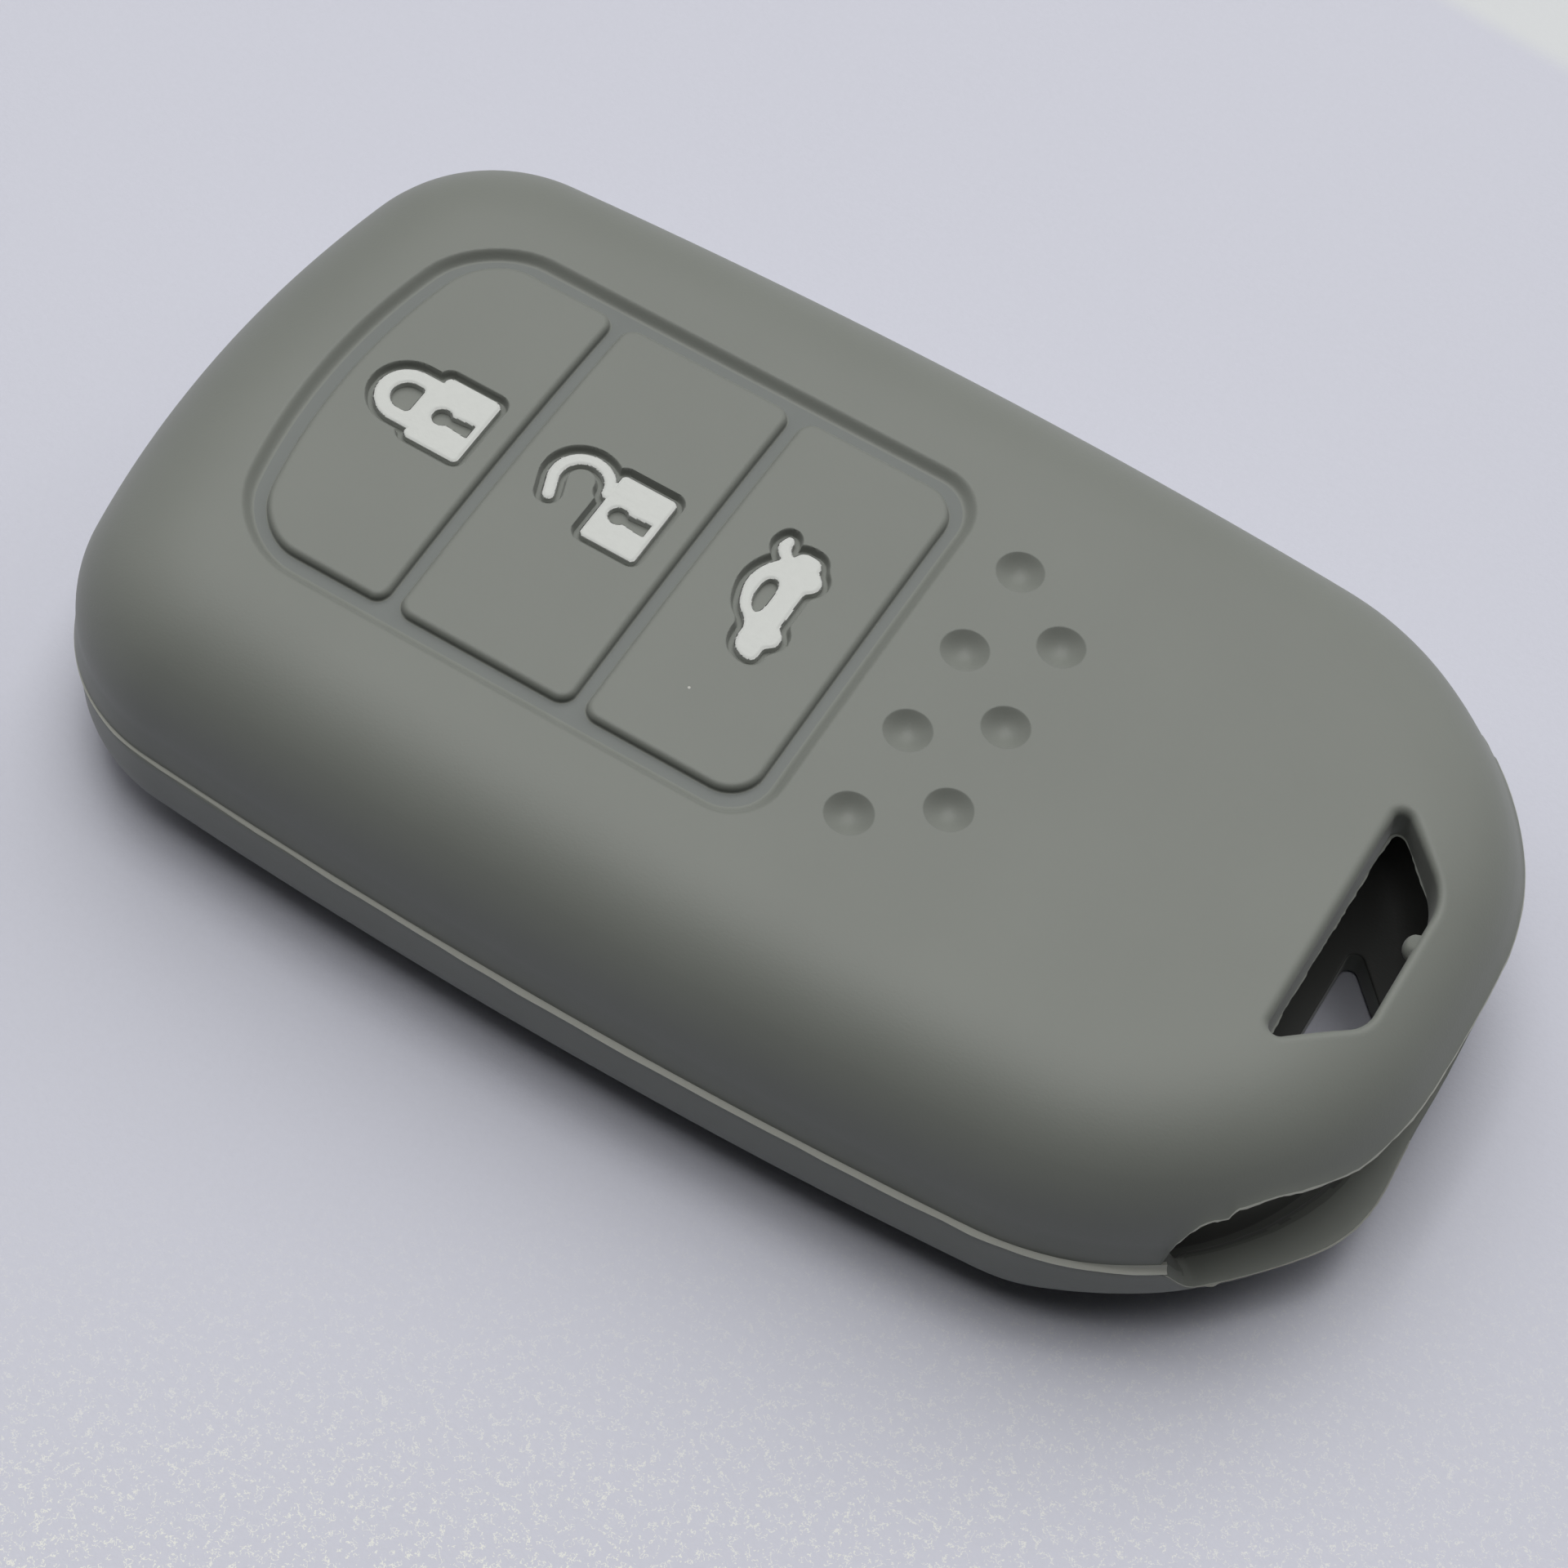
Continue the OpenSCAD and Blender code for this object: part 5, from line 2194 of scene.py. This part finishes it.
def place_piece(piece: bpy.types.Object, body: str, slot: str, *nodes: str) -> None:
    """Make a piece ride on a body and stand for some nodes.

    Args:
        piece: The piece.
        body: Body that carries it.
        slot: Not used.
        nodes: Nodes that it replaces.
    """
    if nodes:
        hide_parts(*nodes)
    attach(piece, body)
    LOG.info("%s: %d faces on %s", piece.name, len(piece.data.polygons), body)


@dataclass
class Studio:
    """Floor, lights and camera.

    Attributes:
        eye: Place of the camera, in millimetres.
        right: Its direction to the right.
        up: Its direction upward.
        back: Its direction away from the view.
        lens: Its focal length in millimetres.
        sensor: Width of its sensor in millimetres.
        near: Nearest distance that it shows, in metres.
        floor_half: Half of the floor's side, in metres.
        sky: Strength of the even sky.
        reach: Distance of the lamps from the cover, in metres.
        lamps: Name of each lamp, its angle up from the floor and its turn from +X in degrees, its side in
            metres and its power in watts.
    """

    eye: tuple[float, float, float] = (43.605, -105.42, 177.63)
    right: tuple[float, float, float] = (0.85613, 0.50911, 0.08855)
    up: tuple[float, float, float] = (-0.47208, 0.70085, 0.53475)
    back: tuple[float, float, float] = (0.21019, -0.49962, 0.84036)
    lens: float = 89.63
    sensor: float = 36.0
    near: float = 0.01
    floor_half: float = 1.5
    sky: float = 0.02
    reach: float = 1.2
    lamps: tuple[tuple[str, float, float, float, float], ...] = (
        ("ceiling", 89.9, 90.0, 0.7, 6.8),
        ("window", 60.0, 115.0, 1.0, 7.8),
        ("window_left", 60.0, 180.0, 0.9, 2.4),
        ("low_far", 25.0, 75.0, 0.7, 2.7),
        ("low_left", 25.0, 180.0, 0.7, 1.7),
        ("ring_side", 40.0, 40.0, 0.7, 1.0),
    )

    def build(self) -> None:
        """Build all of it."""
        self.floor()
        self.camera()
        self.lights()
        self.world()

    def floor(self) -> None:
        """Lay a wide floor at the height of the back face."""
        half = self.floor_half
        corners = [(-half, -half, 0.0), (half, -half, 0.0), (half, half, 0.0), (-half, half, 0.0)]
        data = bpy.data.meshes.new("floor")
        data.from_pydata(corners, [], [(0, 1, 2, 3)])
        floor = placed("floor", data)
        dress(floor, Table().make())

    def camera(self) -> None:
        """Set the camera where the photograph was taken from."""
        data = bpy.data.cameras.new("camera")
        data.lens = self.lens
        data.sensor_width = self.sensor
        data.clip_start = self.near
        turn = Matrix((self.right, self.up, self.back)).transposed().to_4x4()
        bpy.context.scene.camera = placed("camera", data, Matrix.Translation([v * MM for v in self.eye]) @ turn)

    def lights(self) -> None:
        """Hang square soft lights that look at the middle of the cover."""
        for name, height, around, side, power in self.lamps:
            data = bpy.data.lights.new(name, "AREA")
            data.shape = "SQUARE"
            data.size = side
            data.energy = power
            rise = math.radians(height)
            back = np.array([*(math.cos(rise) * unit(np.radians(around))), math.sin(rise)])
            right = np.cross([0.0, 0.0, 1.0], back)
            right = right / np.linalg.norm(right)
            turn = Matrix((right, np.cross(back, right), back)).transposed().to_4x4()
            placed(name, data, Matrix.Translation(self.reach * back) @ turn)

    def world(self) -> None:
        """Fill the rest with an even dim sky."""
        world = bpy.data.worlds.new("world")
        world.use_nodes = True
        sky = world.node_tree.nodes["Background"]
        sky.inputs["Color"].default_value = (1.0, 1.0, 1.0, 1.0)
        sky.inputs["Strength"].default_value = self.sky
        bpy.context.scene.world = world
        bpy.context.scene.view_settings.view_transform = "Standard"


def layout(sizes: CoverSizes) -> tuple[Bar, dict[Symbol, Bar]]:
    """Return the window and the pads, placed by the frame's nodes.

    Args:
        sizes: Sizes of the moulding.

    Returns:
        The window, and the pad of each symbol.
    """
    web_low, web_high = frame_box("button_web")
    groove, groove_ring, divider = 1.1, 0.95, 0.75
    lock_l, unlock_l, trunk_l = 9.5, 10.35, 9.6
    blind_bow, lock_bow, unlock_bow, ring_bow = 36.0, 350.0, 600.0, 1300.0
    window_blind_r, window_ring_r, pad_blind_r, pad_r, pad_ring_r = 4.0, 2.8, 3.0, 0.9, 2.0
    half_w, x0 = float(web_high[1]), float(web_low[0])
    lock0 = x0 + groove
    unlock0 = lock0 + lock_l + divider
    trunk0 = unlock0 + unlock_l + divider
    pad_w = half_w - groove
    window = Bar(x0, trunk0 + trunk_l + groove_ring, half_w, window_blind_r, window_ring_r, blind_bow, ring_bow)
    return window, {
        Symbol.LOCK: Bar(lock0, lock0 + lock_l, pad_w, pad_blind_r, pad_r, blind_bow, lock_bow),
        Symbol.UNLOCK: Bar(unlock0, unlock0 + unlock_l, pad_w, pad_r, pad_r, lock_bow, unlock_bow),
        Symbol.TRUNK: Bar(trunk0, trunk0 + trunk_l, pad_w, pad_r, pad_ring_r, unlock_bow, ring_bow),
    }


def main() -> None:
    """Build the cover and the studio."""
    logging.basicConfig(level=logging.INFO, format="%(message)s")
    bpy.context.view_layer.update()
    sizes = CoverSizes()
    window, bars = layout(sizes)
    silicone = Silicone().make()
    # Paler colour of the torn edges and ledge beads: partly whitened torn silicone, partly a painted highlight
    # of light catching these thin edges
    torn = Silicone(name="torn_pale_and_painted_highlight", color=srgb(162, 163, 155)).make()
    # Painted shade inside the halves: three darker colours for bands further in, not a different silicone
    inner = [Silicone(name=f"inside_painted_shade_{i}", color=shade).make()
             for i, shade in enumerate((srgb(92, 94, 89), srgb(74, 76, 72), srgb(52, 53, 50)))]
    # Darker colour of the web between the pads: painted shade of the recessed groove floor
    groove_shade = Silicone(name="groove_painted_shade", color=srgb(101, 105, 102)).make()
    white = WhiteFill().make()
    shell = Shell(sizes, window)
    for side, piece in ((Side.FRONT, shell.front()), (Side.BACK, shell.back())):
        dress(piece, silicone, *inner)
        place_piece(piece, "cover", "silicone", f"{side.value}_half")
    for piece in Trimmings(sizes).build():
        dress(piece, silicone if piece.name == "slot_flash" else torn)
        place_piece(piece, "cover", "silicone")
    buttons = Buttons(sizes, window, bars)
    web = buttons.web()
    dress(web, groove_shade)
    place_piece(web, "cover", "silicone", "button_web")
    for symbol in Symbol:
        pad, fill = buttons.pad(symbol), buttons.ink(symbol)
        dress(pad, silicone)
        dress(fill, white)
        place_piece(pad, symbol.value, "silicone", f"{symbol.value}_button")
        place_piece(fill, symbol.value, "white_ink", f"{symbol.value}_icon")
    Studio().build()


if __name__ == "__main__":
    main()
